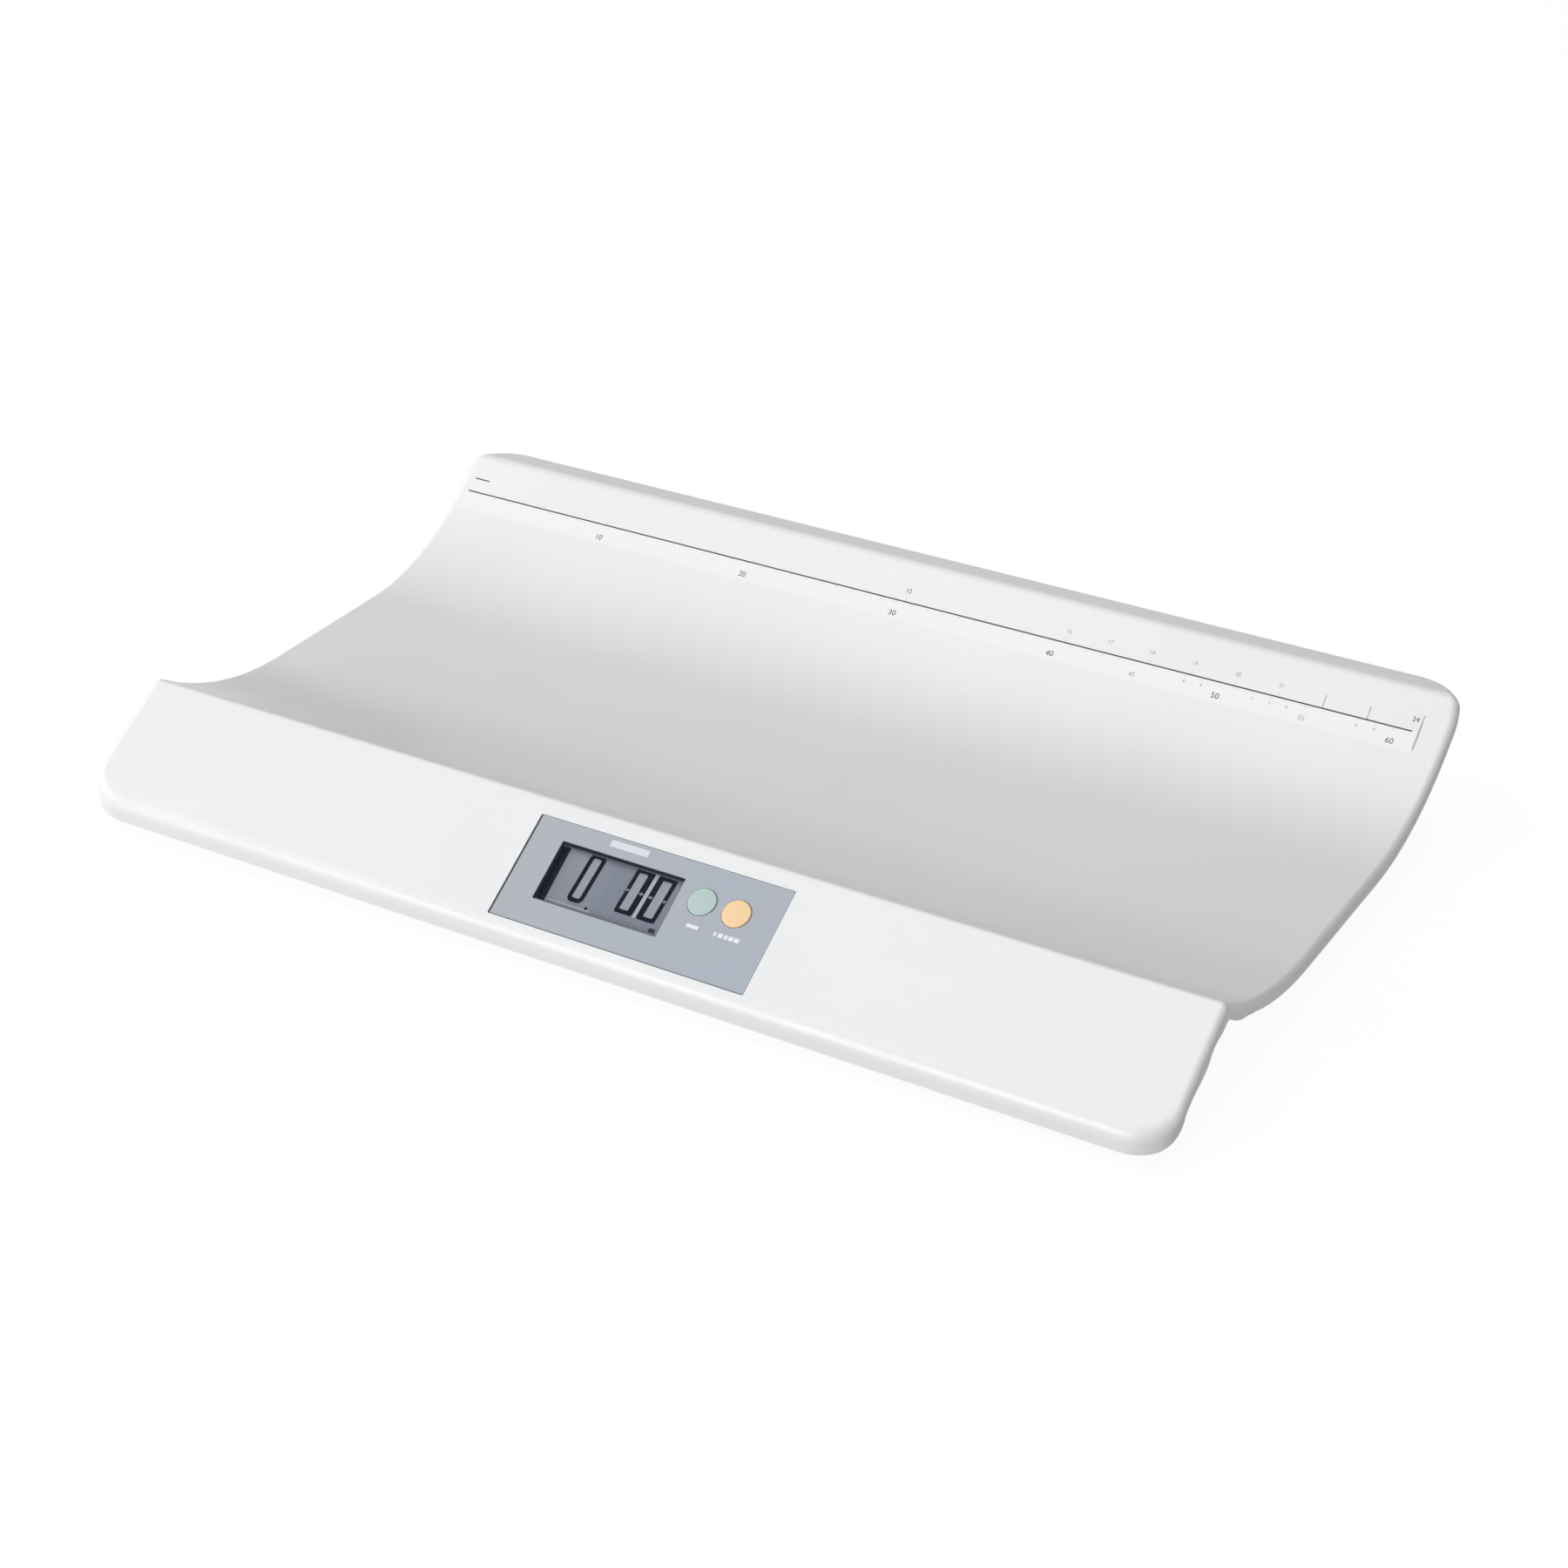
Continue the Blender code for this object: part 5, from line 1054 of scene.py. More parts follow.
@dataclass
class TrayUnderside:
    """Screw bosses and end ribs that the tray carries below."""

    section: Section
    tray: TrayShell
    panel: "ControlPanel"
    rib_thickness: float = 0.0020
    rib_inset: float = 0.0270
    rib_pitch: float = 0.0140
    rib_sink: float = 0.9
    ribs_per_end: int = 2
    boss_radius: float = 0.0042
    pilot_radius: float = 0.0018
    screw_reach: float = 0.0072
    pilot_room: float = 0.0008
    boss_chamfer: float = 0.0003
    board_boss_radius: float = 0.0032
    board_pilot_radius: float = 0.0014
    seat_gap: float = 0.0003
    board_depth: float = 0.0120
    sink: float = 0.6
    sides: int = 40
    shell_screws: int = 6
    board_screws: int = 4

    def build(self) -> int:
        """The ribs and bosses, and how many there are."""
        return len(self.ribs()) + len(self.shell_bosses()) + len(self.board_bosses())

    def ribs(self) -> list[bpy.types.Object]:
        """The end ribs: the band between the wall's middle and the rim's depth, carried along X.

        Returns:
            The ribs.
        """
        s = self.section
        y = s.line[:, 0]
        y = y[(y > s.mid_y + s.front_roll) & (y < s.back_y - s.lip_width - s.lip_sweep)]
        normal = np.stack([-s.slope(y), np.ones_like(y)], 1)
        normal /= np.linalg.norm(normal, axis=1)[:, None]
        face = np.stack([y, s.height(y)], 1)
        high = face - normal * self.tray.wall * self.rib_sink
        low = face - normal * self.tray.rim_depth
        made = []
        for side in (-1, 1):
            for k in range(self.ribs_per_end):
                place = side * (self.tray.length / 2 - self.rib_inset - k * self.rib_pitch)
                edges = place - self.rib_thickness / 2, place + self.rib_thickness / 2
                ring = [(edges[0], high), (edges[1], high), (edges[1], low), (edges[0], low)]
                points = np.stack([np.column_stack([np.full(len(y), x), line]) for x, line in ring], axis=1)
                faces = grid_faces(len(y), 4, Joint.RING)
                ends = np.array([[3, 2, 1, 0], (len(y) - 1) * 4 + np.array([0, 1, 2, 3])])
                mesh = mesh_of("tray_rib", points.reshape(-1, 3), np.concatenate([faces, ends]))
                rib = new_object(f"tray_rib_{len(made) + 1}", mesh)
                made.append(wear(shade(rib), Palette.TRAY))
        return made

    def boss(self, centre: Pair, radii: Pair, heights: Pair, top: Array) -> tuple[Array, Array]:
        """A round boss with a pilot hole, as rings about its centre.

        The rings run down the outside, round the chamfered foot and up the hole, whose end is closed.

        Args:
            centre: Middle of the boss in its plane.
            radii: Radius of the boss and of its hole.
            heights: Height of its foot and of the hole's end.
            top: Height of the outside's upper edge in each direction.

        Returns:
            Corner places (n, 3) and corner numbers (m, 3).
        """
        outer, pilot = radii
        foot, hole_end = heights
        angles = FULL_TURN * np.arange(self.sides) / self.sides
        ring = np.stack([np.cos(angles), np.sin(angles)], 1)
        chamfer = self.boss_chamfer
        levels = (outer, foot + chamfer), (outer - chamfer, foot), (pilot, foot), (pilot, hole_end)
        rings = [np.column_stack([ring * outer + centre, top])]
        rings += [np.column_stack([ring * radius + centre, np.full(self.sides, z)]) for radius, z in levels]
        points = np.vstack([*rings, (*centre, hole_end)])
        quads = grid_faces(len(rings), self.sides, Joint.RING)[:, ::-1]
        last = (len(rings) - 1) * self.sides + np.arange(self.sides)
        cap = np.stack([last, np.roll(last, -1), np.full(self.sides, len(points) - 1)], axis=1)
        return points, np.concatenate([quads[:, [0, 1, 2]], quads[:, [0, 2, 3]], cap])

    def shell_bosses(self) -> list[bpy.types.Object]:
        """One boss over each housing screw, up to the middle of the tray's wall.

        Returns:
            The bosses.
        """
        s, made = self.section, []
        for k in range(1, self.shell_screws + 1):
            low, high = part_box(f"shell_screw_{k}")
            centre, tip = ((low.x + high.x) / 2, (low.y + high.y) / 2), high.z
            angles = FULL_TURN * np.arange(self.sides) / self.sides
            y = centre[1] + self.boss_radius * np.sin(angles)
            top = s.height(y) - self.sink * self.tray.wall * np.sqrt(1 + s.slope(y) ** 2)
            heights = tip - self.screw_reach, tip + self.pilot_room
            points, faces = self.boss(centre, (self.boss_radius, self.pilot_radius), heights, top)
            boss = new_object(f"screw_boss_{k}", mesh_of("screw_boss", points, faces))
            made.append(wear(shade(boss), Palette.TRAY))
        return made

    def board_bosses(self) -> list[bpy.types.Object]:
        """One boss over each board screw, square to the apron.

        Returns:
            The bosses.
        """
        made, radii = [], (self.board_boss_radius, self.board_pilot_radius)
        inverse = self.panel.matrix.inverted()
        for k in range(1, self.board_screws + 1):
            low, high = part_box(f"board_screw_{k}")
            centre = inverse @ ((low + high) / 2)
            top = np.full(self.sides, -self.sink * self.tray.wall)
            foot = -self.board_depth + self.seat_gap
            heights = foot, -self.tray.wall - 2 * self.seat_gap
            points, faces = self.boss((centre.x, centre.y), radii, heights, top)
            boss = self.panel.placed(f"board_boss_{k}", points, faces)
            made.append(wear(shade(boss), Palette.TRAY))
        return made


# The ruler


@dataclass(frozen=True)
class NumberRow:
    """Numbers of one size on the ruler, and how many of their last digits are printed."""

    name: str
    numbers: tuple[int, ...]
    unit: float
    place: float
    size_share: float
    ink: Ink
    digits: int = 2


@dataclass
class Ruler:
    """Printed scale on the back wall, in centimetres below its line and inches above."""

    section: Section
    line_y: float = 0.15669
    zero_x: float = -0.31098
    length: float = 0.6096
    lift: float = 0.00006
    line_width: float = 0.0008
    first_mark: tuple[float, ...] = (0.0010, 0.0112, 0.0084, 0.0091)
    end_bar: tuple[float, ...] = (0.0035, 0.0041, -0.0105, 0.0100)
    band_depth: float = 0.0122
    band_rows: int = 12
    band_ends: Pair = (-0.0040, 0.0030)
    band_lift_share: float = 0.4
    inch: float = 0.0254
    centimetre: float = 0.01
    cm_count: int = 60
    inch_count: int = 24
    late_inches: tuple[int, ...] = (22, 23)
    tick_half: float = 0.00013
    cm_tick: float = 0.0026
    inch_tick: float = 0.0030
    late_tick: float = 0.0078
    cm_place: float = -0.0083
    unit_place: float = -0.0045
    inch_place: float = 0.0070
    figure_height: float = 0.0034

    def number_rows(self) -> tuple[NumberRow, ...]:
        """The numbers that are printed, row by row.

        Returns:
            The rows, with the boldest of each scale first.
        """
        bold, soft, cm, inch = Palette.RULER, Palette.RULER_SOFT, self.centimetre, self.inch
        return (
            NumberRow("ruler_cm_figures", (10, 20, 30, 40, 50, 60), cm, self.cm_place, 1.0, bold),
            NumberRow("ruler_cm_halves", (45, 55), cm, self.cm_place, 0.8, soft),
            NumberRow("ruler_cm_units", (48, 49, 52, 53, 54, 58, 59), cm, self.unit_place, 0.55, soft, 1),
            NumberRow("ruler_inch_figures", (12, 24), inch, self.inch_place, 0.8, bold),
            NumberRow("ruler_inch_soft", (16, 17, 18, 19, 20, 21), inch, self.inch_place, 0.7, soft),
        )

    def on_wall(self, x: Array, distance: Array, lift: float) -> Array:
        """Places on the wall, lifted off it.

        The wall's normal at y is (0, -slope, 1) made one long.

        Args:
            x: Places along the ruler.
            distance: Distances up the wall from the ruler's line.
            lift: How far the places lie over the wall.

        Returns:
            The places, with one more axis for x, y and z.
        """
        y, z = self.section.along(self.line_y, distance)
        slope = self.section.slope(y)
        length = np.sqrt(1 + slope**2)
        return np.stack([x, y - lift * slope / length, z + lift / length], axis=-1)

    def ticks(self, places: Array, half: float, low: float, high: float) -> Array:
        """Boxes of upright ticks that reach half a width to either side of their places."""
        level = np.ones_like(places)
        return np.column_stack([places - half, places + half, level * low, level * high])

    def strokes(self, name: str, boxes: Array, ink: Ink, share: float = 1.0) -> bpy.types.Object:
        """Flat rectangles on the wall.

        Args:
            name: Name of the piece.
            boxes: Left, right, low and high of each rectangle, (n, 4).
            ink: The ink that it wears.
            share: Share of the usual lift.

        Returns:
            The print.
        """
        x = boxes[:, [0, 1, 1, 0]]
        up = boxes[:, [2, 2, 3, 3]]
        points = self.on_wall(x, up, self.lift * share).reshape(-1, 3)
        faces = np.arange(len(points)).reshape(-1, 4)
        return wear(new_object(name, mesh_of(name, points, faces)), ink)

    def figures(self, row: NumberRow) -> bpy.types.Object:
        """Numbers on the wall, each centred at its own place along the ruler.

        Args:
            row: The numbers and their looks.

        Returns:
            The print.
        """
        corners, faces, count = [], [], 0
        for number in row.numbers:
            x = self.zero_x + number * row.unit
            outline, triangles = text_mesh(str(number % 10**row.digits), row.size_share * self.figure_height)
            points = self.on_wall(x + outline[:, 0], row.place + outline[:, 1], self.lift)
            corners.append(points)
            faces.append(triangles + count)
            count += len(points)
        mesh = mesh_of(row.name, np.concatenate(corners), np.concatenate(faces))
        return wear(new_object(row.name, mesh), row.ink)

    def build(self) -> list[bpy.types.Object]:
        """The pale band under the line, the line, its end bar, the ticks and the numbers.

        Returns:
            The prints.
        """
        start, half, thin = self.zero_x, self.line_width / 2, self.tick_half
        end = start + self.length
        mark, bar = np.array(self.first_mark), np.array([self.end_bar])
        mark[:2] += start
        bar[:, :2] += end
        levels = np.linspace(-self.band_depth, -half, self.band_rows + 1)
        ends = np.array([(start + self.band_ends[0], end + self.band_ends[1])]).repeat(self.band_rows, 0)
        centimetres = start + self.centimetre * np.arange(1, self.cm_count + 1)
        inches = start + self.inch * np.arange(1, self.inch_count + 1)
        late = start + self.inch * np.array(self.late_inches)
        made = [
            self.strokes("ruler_band", np.column_stack([ends, levels[:-1], levels[1:]]), Palette.RULER_BAND,
                         self.band_lift_share),
            self.strokes("ruler_line", np.array([(start, end, -half, half), mark]), Palette.RULER),
            self.strokes("ruler_end_bar", bar, Palette.RULER_SOFT),
        ]
        for name, boxes, ink in (
            ("ruler_cm_ticks", self.ticks(centimetres, thin, -self.cm_tick, -half), Palette.RULER_FAINT),
            ("ruler_inch_ticks", self.ticks(inches, thin, half, self.inch_tick), Palette.RULER_FAINT),
            ("ruler_late_ticks", self.ticks(late, 2 * thin, half, self.late_tick), Palette.RULER_SOFT),
        ):
            made.append(self.strokes(name, boxes, ink))
        return made + [self.figures(row) for row in self.number_rows()]


def text_mesh(text: str, height: float) -> tuple[Array, Array]:
    """Flat triangles of a short number, centred, in its own (x, y) plane.

    Args:
        text: The number.
        height: Height of its figures in metres.

    Returns:
        Corner places (n, 2) and corner numbers (m, 3).
    """
    curve = bpy.data.curves.new("figure", "FONT")
    curve.body = text
    curve.resolution_u = FIGURE_CURVE_STEPS
    obj = bpy.data.objects.new("figure", curve)
    bpy.context.scene.collection.objects.link(obj)
    bpy.context.view_layer.update()
    mesh = bpy.data.meshes.new_from_object(obj)
    mesh.calc_loop_triangles()
    points = np.empty(len(mesh.vertices) * 3, np.float32)
    mesh.vertices.foreach_get("co", points)
    points = points.reshape(-1, 3)[:, :2]
    triangles = np.empty(len(mesh.loop_triangles) * 3, np.int32)
    mesh.loop_triangles.foreach_get("vertices", triangles)
    low, high = points.min(0), points.max(0)
    points = (points - (low + high) / 2) * (height / (high[1] - low[1]))
    bpy.data.objects.remove(obj)
    bpy.data.curves.remove(curve)
    return points, triangles.reshape(-1, 3)


# The control panel


@dataclass(frozen=True)
class Block:
    """A block of ink with round corners, on the panel or on the display's cell."""

    name: str
    size: Pair
    place: Pair
    ink: Ink = Palette.MARK
    corner: float = 0.0004
    steps: int = 3


@dataclass(frozen=True)
class ButtonForm:
    """Sizes of a push button; its heights are counted from the apron's plane."""

    radius: float = 0.0077
    edge: float = 0.0007
    stand_out: float = 0.0008
    crown: float = 0.00025
    flange: float = 0.00135
    flange_top: float = -0.0028
    flange_bottom: float = -0.0040
    stem_radius: float = 0.0022
    face_steps: int = 11
    edge_steps: int = 8
    sides: int = 64

    def profile(self, bottom: float) -> Array:
        """Outline of the button from the middle of its face to the middle of its stem's end.

        The face's height at radius r is stand_out - crown (r / R)^2, and a quarter circle rounds its edge.

        Args:
            bottom: Height of the stem's end.

        Returns:
            Radius and height of each point, (n, 2).
        """
        rim, edge = self.radius - self.edge, self.edge
        face = rim * np.linspace(0, 1, self.face_steps + 1)
        top = self.stand_out - self.crown * (face / rim) ** 2
        angles = QUARTER * np.arange(1, self.edge_steps + 1) / self.edge_steps
        start = self.stand_out - self.crown
        corner = np.stack([rim + edge * np.sin(angles), start - edge + edge * np.cos(angles)], 1)
        wide = self.radius + self.flange
        rest = np.array([
            (self.radius, self.flange_top), (wide, self.flange_top), (wide, self.flange_bottom),
            (self.stem_radius, self.flange_bottom), (self.stem_radius, bottom), (0, bottom),
        ])
        return np.vstack([np.stack([face, top], 1), corner, rest])


@dataclass
class ControlPanel:
    """Plate, window, display and buttons, laid out in the apron's own plane."""

    section: Section
    offset: float = 0.0181
    down_slope: float = 0.0402
    size: Pair = (0.1497, 0.0597)
    corner: float = 0.0008
    recess_steps: int = 4
    plate_bevel: float = 0.00012
    gap: float = 0.0003
    thickness: float = 0.0010
    set_back: float = 0.0001
    window_place: Pair = (-0.0196, 0.0021)
    window_size: Pair = (0.0734, 0.0346)
    window_corner: float = 0.0010
    window_bevel: float = 0.0001
    opening_steps: int = 6
    collar_lap: float = 0.0010
    button: ButtonForm = ButtonForm()
    green_place: Pair = (0.0314, 0.0100)
    orange_place: Pair = (0.0515, 0.0094)
    glass_depth: float = 0.0046
    overrun: float = 0.0020
    lift: float = 0.00005
    left_line: float = 0.0008
    low_line: float = 0.0004
    line_corner: float = 0.0001
    line_steps: int = 2
    blocks: tuple[Block, ...] = (
        Block("panel_bar", (0.0226, 0.0038), (-0.0195, 0.0259), Palette.BAR),
        Block("green_mark", (0.0069, 0.0020), (0.0328, -0.0040)),
        Block("orange_mark_1", (0.0015, 0.0024), (0.0460, -0.0041)),
        Block("orange_mark_2", (0.0026, 0.0024), (0.0491, -0.0041)),
        Block("orange_mark_3", (0.0019, 0.0024), (0.0522, -0.0041)),
        Block("orange_mark_4", (0.0026, 0.0024), (0.0550, -0.0041)),
        Block("orange_mark_5", (0.0030, 0.0024), (0.0583, -0.0041)),
    )
    matrix: Matrix = field(init=False)

    def __post_init__(self) -> None:
        """Works out the matrix from the apron's plane to the frame."""
        s = self.section
        origin = Vector((
            self.offset,
            s.mid_y - self.down_slope * math.cos(s.apron_slope),
            s.crest_height - self.down_slope * math.sin(s.apron_slope),
        ))
        self.matrix = Matrix.Translation(origin) @ Matrix.Rotation(s.apron_slope, 4, "X")

    def window_span(self) -> tuple[Pair, Pair]:
        """Left and right, then low and high, of the window in the apron's plane."""
        return tuple((at - size / 2, at + size / 2) for at, size in zip(self.window_place, self.window_size))

    def placed(self, name: str, points: Array, faces: Array) -> bpy.types.Object:
        """A piece from points in the apron's plane, with its place taken into its mesh.

        Args:
            name: Name of the piece.
            points: Corner places in the plane's own frame, (n, 3).
            faces: Corner numbers, (m, 3) or (m, 4).

        Returns:
            The piece.
        """
        turn = np.array(self.matrix.to_3x3())
        origin = np.array(self.matrix.translation)
        return new_object(name, mesh_of(name, points @ turn.T + origin, faces))

    def slab(self, name: str, outline: Array, bottom: float, top: float) -> bpy.types.Object:
        """An outline raised from one height to another, closed.

        Args:
            name: Name of the solid.
            outline: Points of its outline, anticlockwise.
            bottom: Height of its lower face.
            top: Height of its upper face.

        Returns:
            The solid.
        """
        count = len(outline)
        rings = [np.column_stack([outline, np.full(count, z)]) for z in (bottom, top)]
        middle = outline.mean(0)
        points = np.vstack([*rings, (*middle, bottom), (*middle, top)])
        quads = grid_faces(2, count, Joint.RING)
        walls = np.concatenate([quads[:, [0, 1, 2]], quads[:, [0, 2, 3]]])
        ring = np.arange(count)
        after = np.roll(ring, -1)
        floor = np.stack([after, ring, np.full(count, 2 * count)], 1)
        lid = np.stack([ring + count, after + count, np.full(count, 2 * count + 1)], 1)
        return self.placed(name, points, np.concatenate([walls, floor, lid]))

    def print_on(self, name: str, outline: Array, height: float, ink: Finish) -> bpy.types.Object:
        """A flat print at a height over the apron's plane.

        Args:
            name: Name of the print.
            outline: Points of its outline, anticlockwise.
            height: Height over the plane.
            ink: The ink that it wears.

        Returns:
            The print.
        """
        points = np.vstack([outline, outline.mean(0)])
        points = np.column_stack([points, np.full(len(points), height)])
        return wear(self.placed(name, points, flat_fan(outline)), ink)

    def print_block(self, block: Block, height: float, shift: Pair = (0.0, 0.0)) -> bpy.types.Object:
        """A block of ink at a height over the apron's plane, moved by a shift."""
        outline = rounded_rectangle(block.size, block.corner, np.array(block.place) + shift, block.steps)
        return self.print_on(block.name, outline, height, block.ink)

    def hole_outline(self, place: Pair) -> Array:
        """Outline of the hole round a button.

        Args:
            place: Middle of the button.

        Returns:
            The outline, (n, 2).
        """
        angles = FULL_TURN * np.arange(self.button.sides) / self.button.sides
        radius = self.button.radius + self.gap
        return np.array(place) + radius * np.stack([np.cos(angles), np.sin(angles)], 1)

    def cutters(self, wall: float) -> list[bpy.types.Object]:
        """The rooms to take out of the tray: the panel's recess, the window's opening and two button holes.

        Args:
            wall: Thickness of the tray's wall.

        Returns:
            The closed solids that cut.
        """
        recess_size = tuple(side + 2 * self.gap for side in self.size)
        recess = rounded_rectangle(recess_size, self.corner, (0, 0), self.recess_steps)
        lap = self.collar_lap + self.gap
        opening_size = tuple(side + 2 * lap for side in self.window_size)
        corner = self.window_corner + lap
        opening = rounded_rectangle(opening_size, corner, self.window_place, self.opening_steps)
        depth = self.set_back + self.thickness + self.gap
        rooms = [self.slab("panel_recess", recess, -depth, self.overrun)]
        for name, outline in (
            ("window_opening", opening),
            ("green_hole", self.hole_outline(self.green_place)),
            ("orange_hole", self.hole_outline(self.orange_place)),
        ):
            rooms.append(self.slab(name, outline, -wall - self.overrun, self.overrun))
        return rooms

    def build(self) -> None:
        """Dresses the plate, the window and the display, and adds their prints."""
        plate = bevelled(merged_copy("control_panel", "panel_plate"), self.plate_bevel)
        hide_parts("control_panel")
        wear(shade(plate), Palette.PANEL)
        self.prints()
        self.display()
        self.buttons()

    def prints(self) -> None:
        """The plain bar over the window, the marks under the buttons and the lines along two edges."""
        height = self.lift - self.set_back
        for block in self.blocks:
            self.print_block(block, height)
        (length, width), left, low = self.size, self.left_line, self.low_line
        for name, size, place, ink in (
            ("panel_left_line", (left, width), ((left - length) / 2, 0), Palette.EDGE),
            ("panel_low_line", (length, low), (0, (low - width) / 2), Palette.EDGE_SOFT),
        ):
            self.print_block(Block(name, size, place, ink, self.line_corner, self.line_steps), height)

    def display(self) -> None:
        """The clear window, the bezel, and the cell with its figures."""
        window = bevelled(merged_copy("display_window", "clear_window"), self.window_bevel)
        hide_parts("display_window")
        wear(shade(window), Palette.CLEAR)
        bezel = merged_copy("lcd_bezel", "display_bezel")
        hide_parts("lcd_bezel")
        wear(shade(bezel), Palette.BEZEL)
        Figures(self).build()

    def buttons(self) -> None:
        """Both buttons, turned from a finer profile than their solids, with a softly crowned top."""
        points, faces = turned_surface(self.button.profile(self.stem_bottom()), self.button.sides)
        for name, place, finish in (
            ("green", self.green_place, Palette.GREEN), ("orange", self.orange_place, Palette.ORANGE),
        ):
            button = self.placed(f"{name}_push_button", points + np.array((*place, 0)), faces)
            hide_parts(f"{name}_button")
            wear(shade(button), finish, f"{name}_button")

    def stem_bottom(self) -> float:
        """The height of the buttons' lower end in the apron's plane, read from the solid.

        Returns:
            The height, which is below zero.
        """
        node = frame["nodes"]["green_button"].data
        points = np.empty(len(node.vertices) * 3, np.float32)
        node.vertices.foreach_get("co", points)
        turn = np.array(self.matrix.to_3x3())
        return float(((points.reshape(-1, 3) - np.array(self.matrix.translation)) @ turn)[:, 2].min())


@dataclass(frozen=True)
class Nought:
    """One nought: its corners at the foot, its strokes from left to right, and its lean."""

    low: tuple[float, float]
    high: tuple[float, float]
    left_stroke: float
    right_stroke: float
    cross_stroke: float
    lean: float
    corner: float = 0.0014
    inner_corner: float = 0.0006

    def leaned(self, points: Array) -> Array:
        """Points moved sideways by the lean times their height over the foot.

        Args:
            points: Places in the plane, (n, 2).

        Returns:
            The moved places.
        """
        points = points.copy()
        points[:, 0] += self.lean * (points[:, 1] - self.low[1])
        return points

    def ring(self, steps: int) -> Array:
        """The outer outline and then the inner one, with as many points each.

        Args:
            steps: Steps in each corner.

        Returns:
            The points of both, (n, 2).
        """
        low, high = np.array(self.low), np.array(self.high)
        inner_low = low + (self.left_stroke, self.cross_stroke)
        inner_high = high - (self.right_stroke, self.cross_stroke)
        outlines = [
            rounded_rectangle(tuple(b - a), radius, tuple((a + b) / 2), steps)
            for a, b, radius in ((low, high, self.corner), (inner_low, inner_high, self.inner_corner))
        ]
        return self.leaned(np.concatenate(outlines))

    def inside(self) -> Array:
        """The corners of the space within the nought.

        Returns:
            Four corners, anticlockwise.
        """
        (left, foot), (right, head) = self.low, self.high
        left, right = left + self.left_stroke, right - self.right_stroke
        return self.leaned(box_corners(left, right, foot + self.cross_stroke, head - self.cross_stroke))

    def notches(self, half_height: float) -> list[Array]:
        """Kites across both uprights at the middle, where the bars of the nought part.

        Args:
            half_height: How far a kite reaches up and down.

        Returns:
            Four corners of each kite.
        """
        (left, foot), (right, head) = self.low, self.high
        middle = (foot + head) / 2
        kites = []
        for start, end in ((left, left + self.left_stroke), (right - self.right_stroke, right)):
            kites.append(self.leaned(np.array([
                (start, middle), ((start + end) / 2, middle - half_height), (end, middle),
                ((start + end) / 2, middle + half_height),
            ])))
        return kites


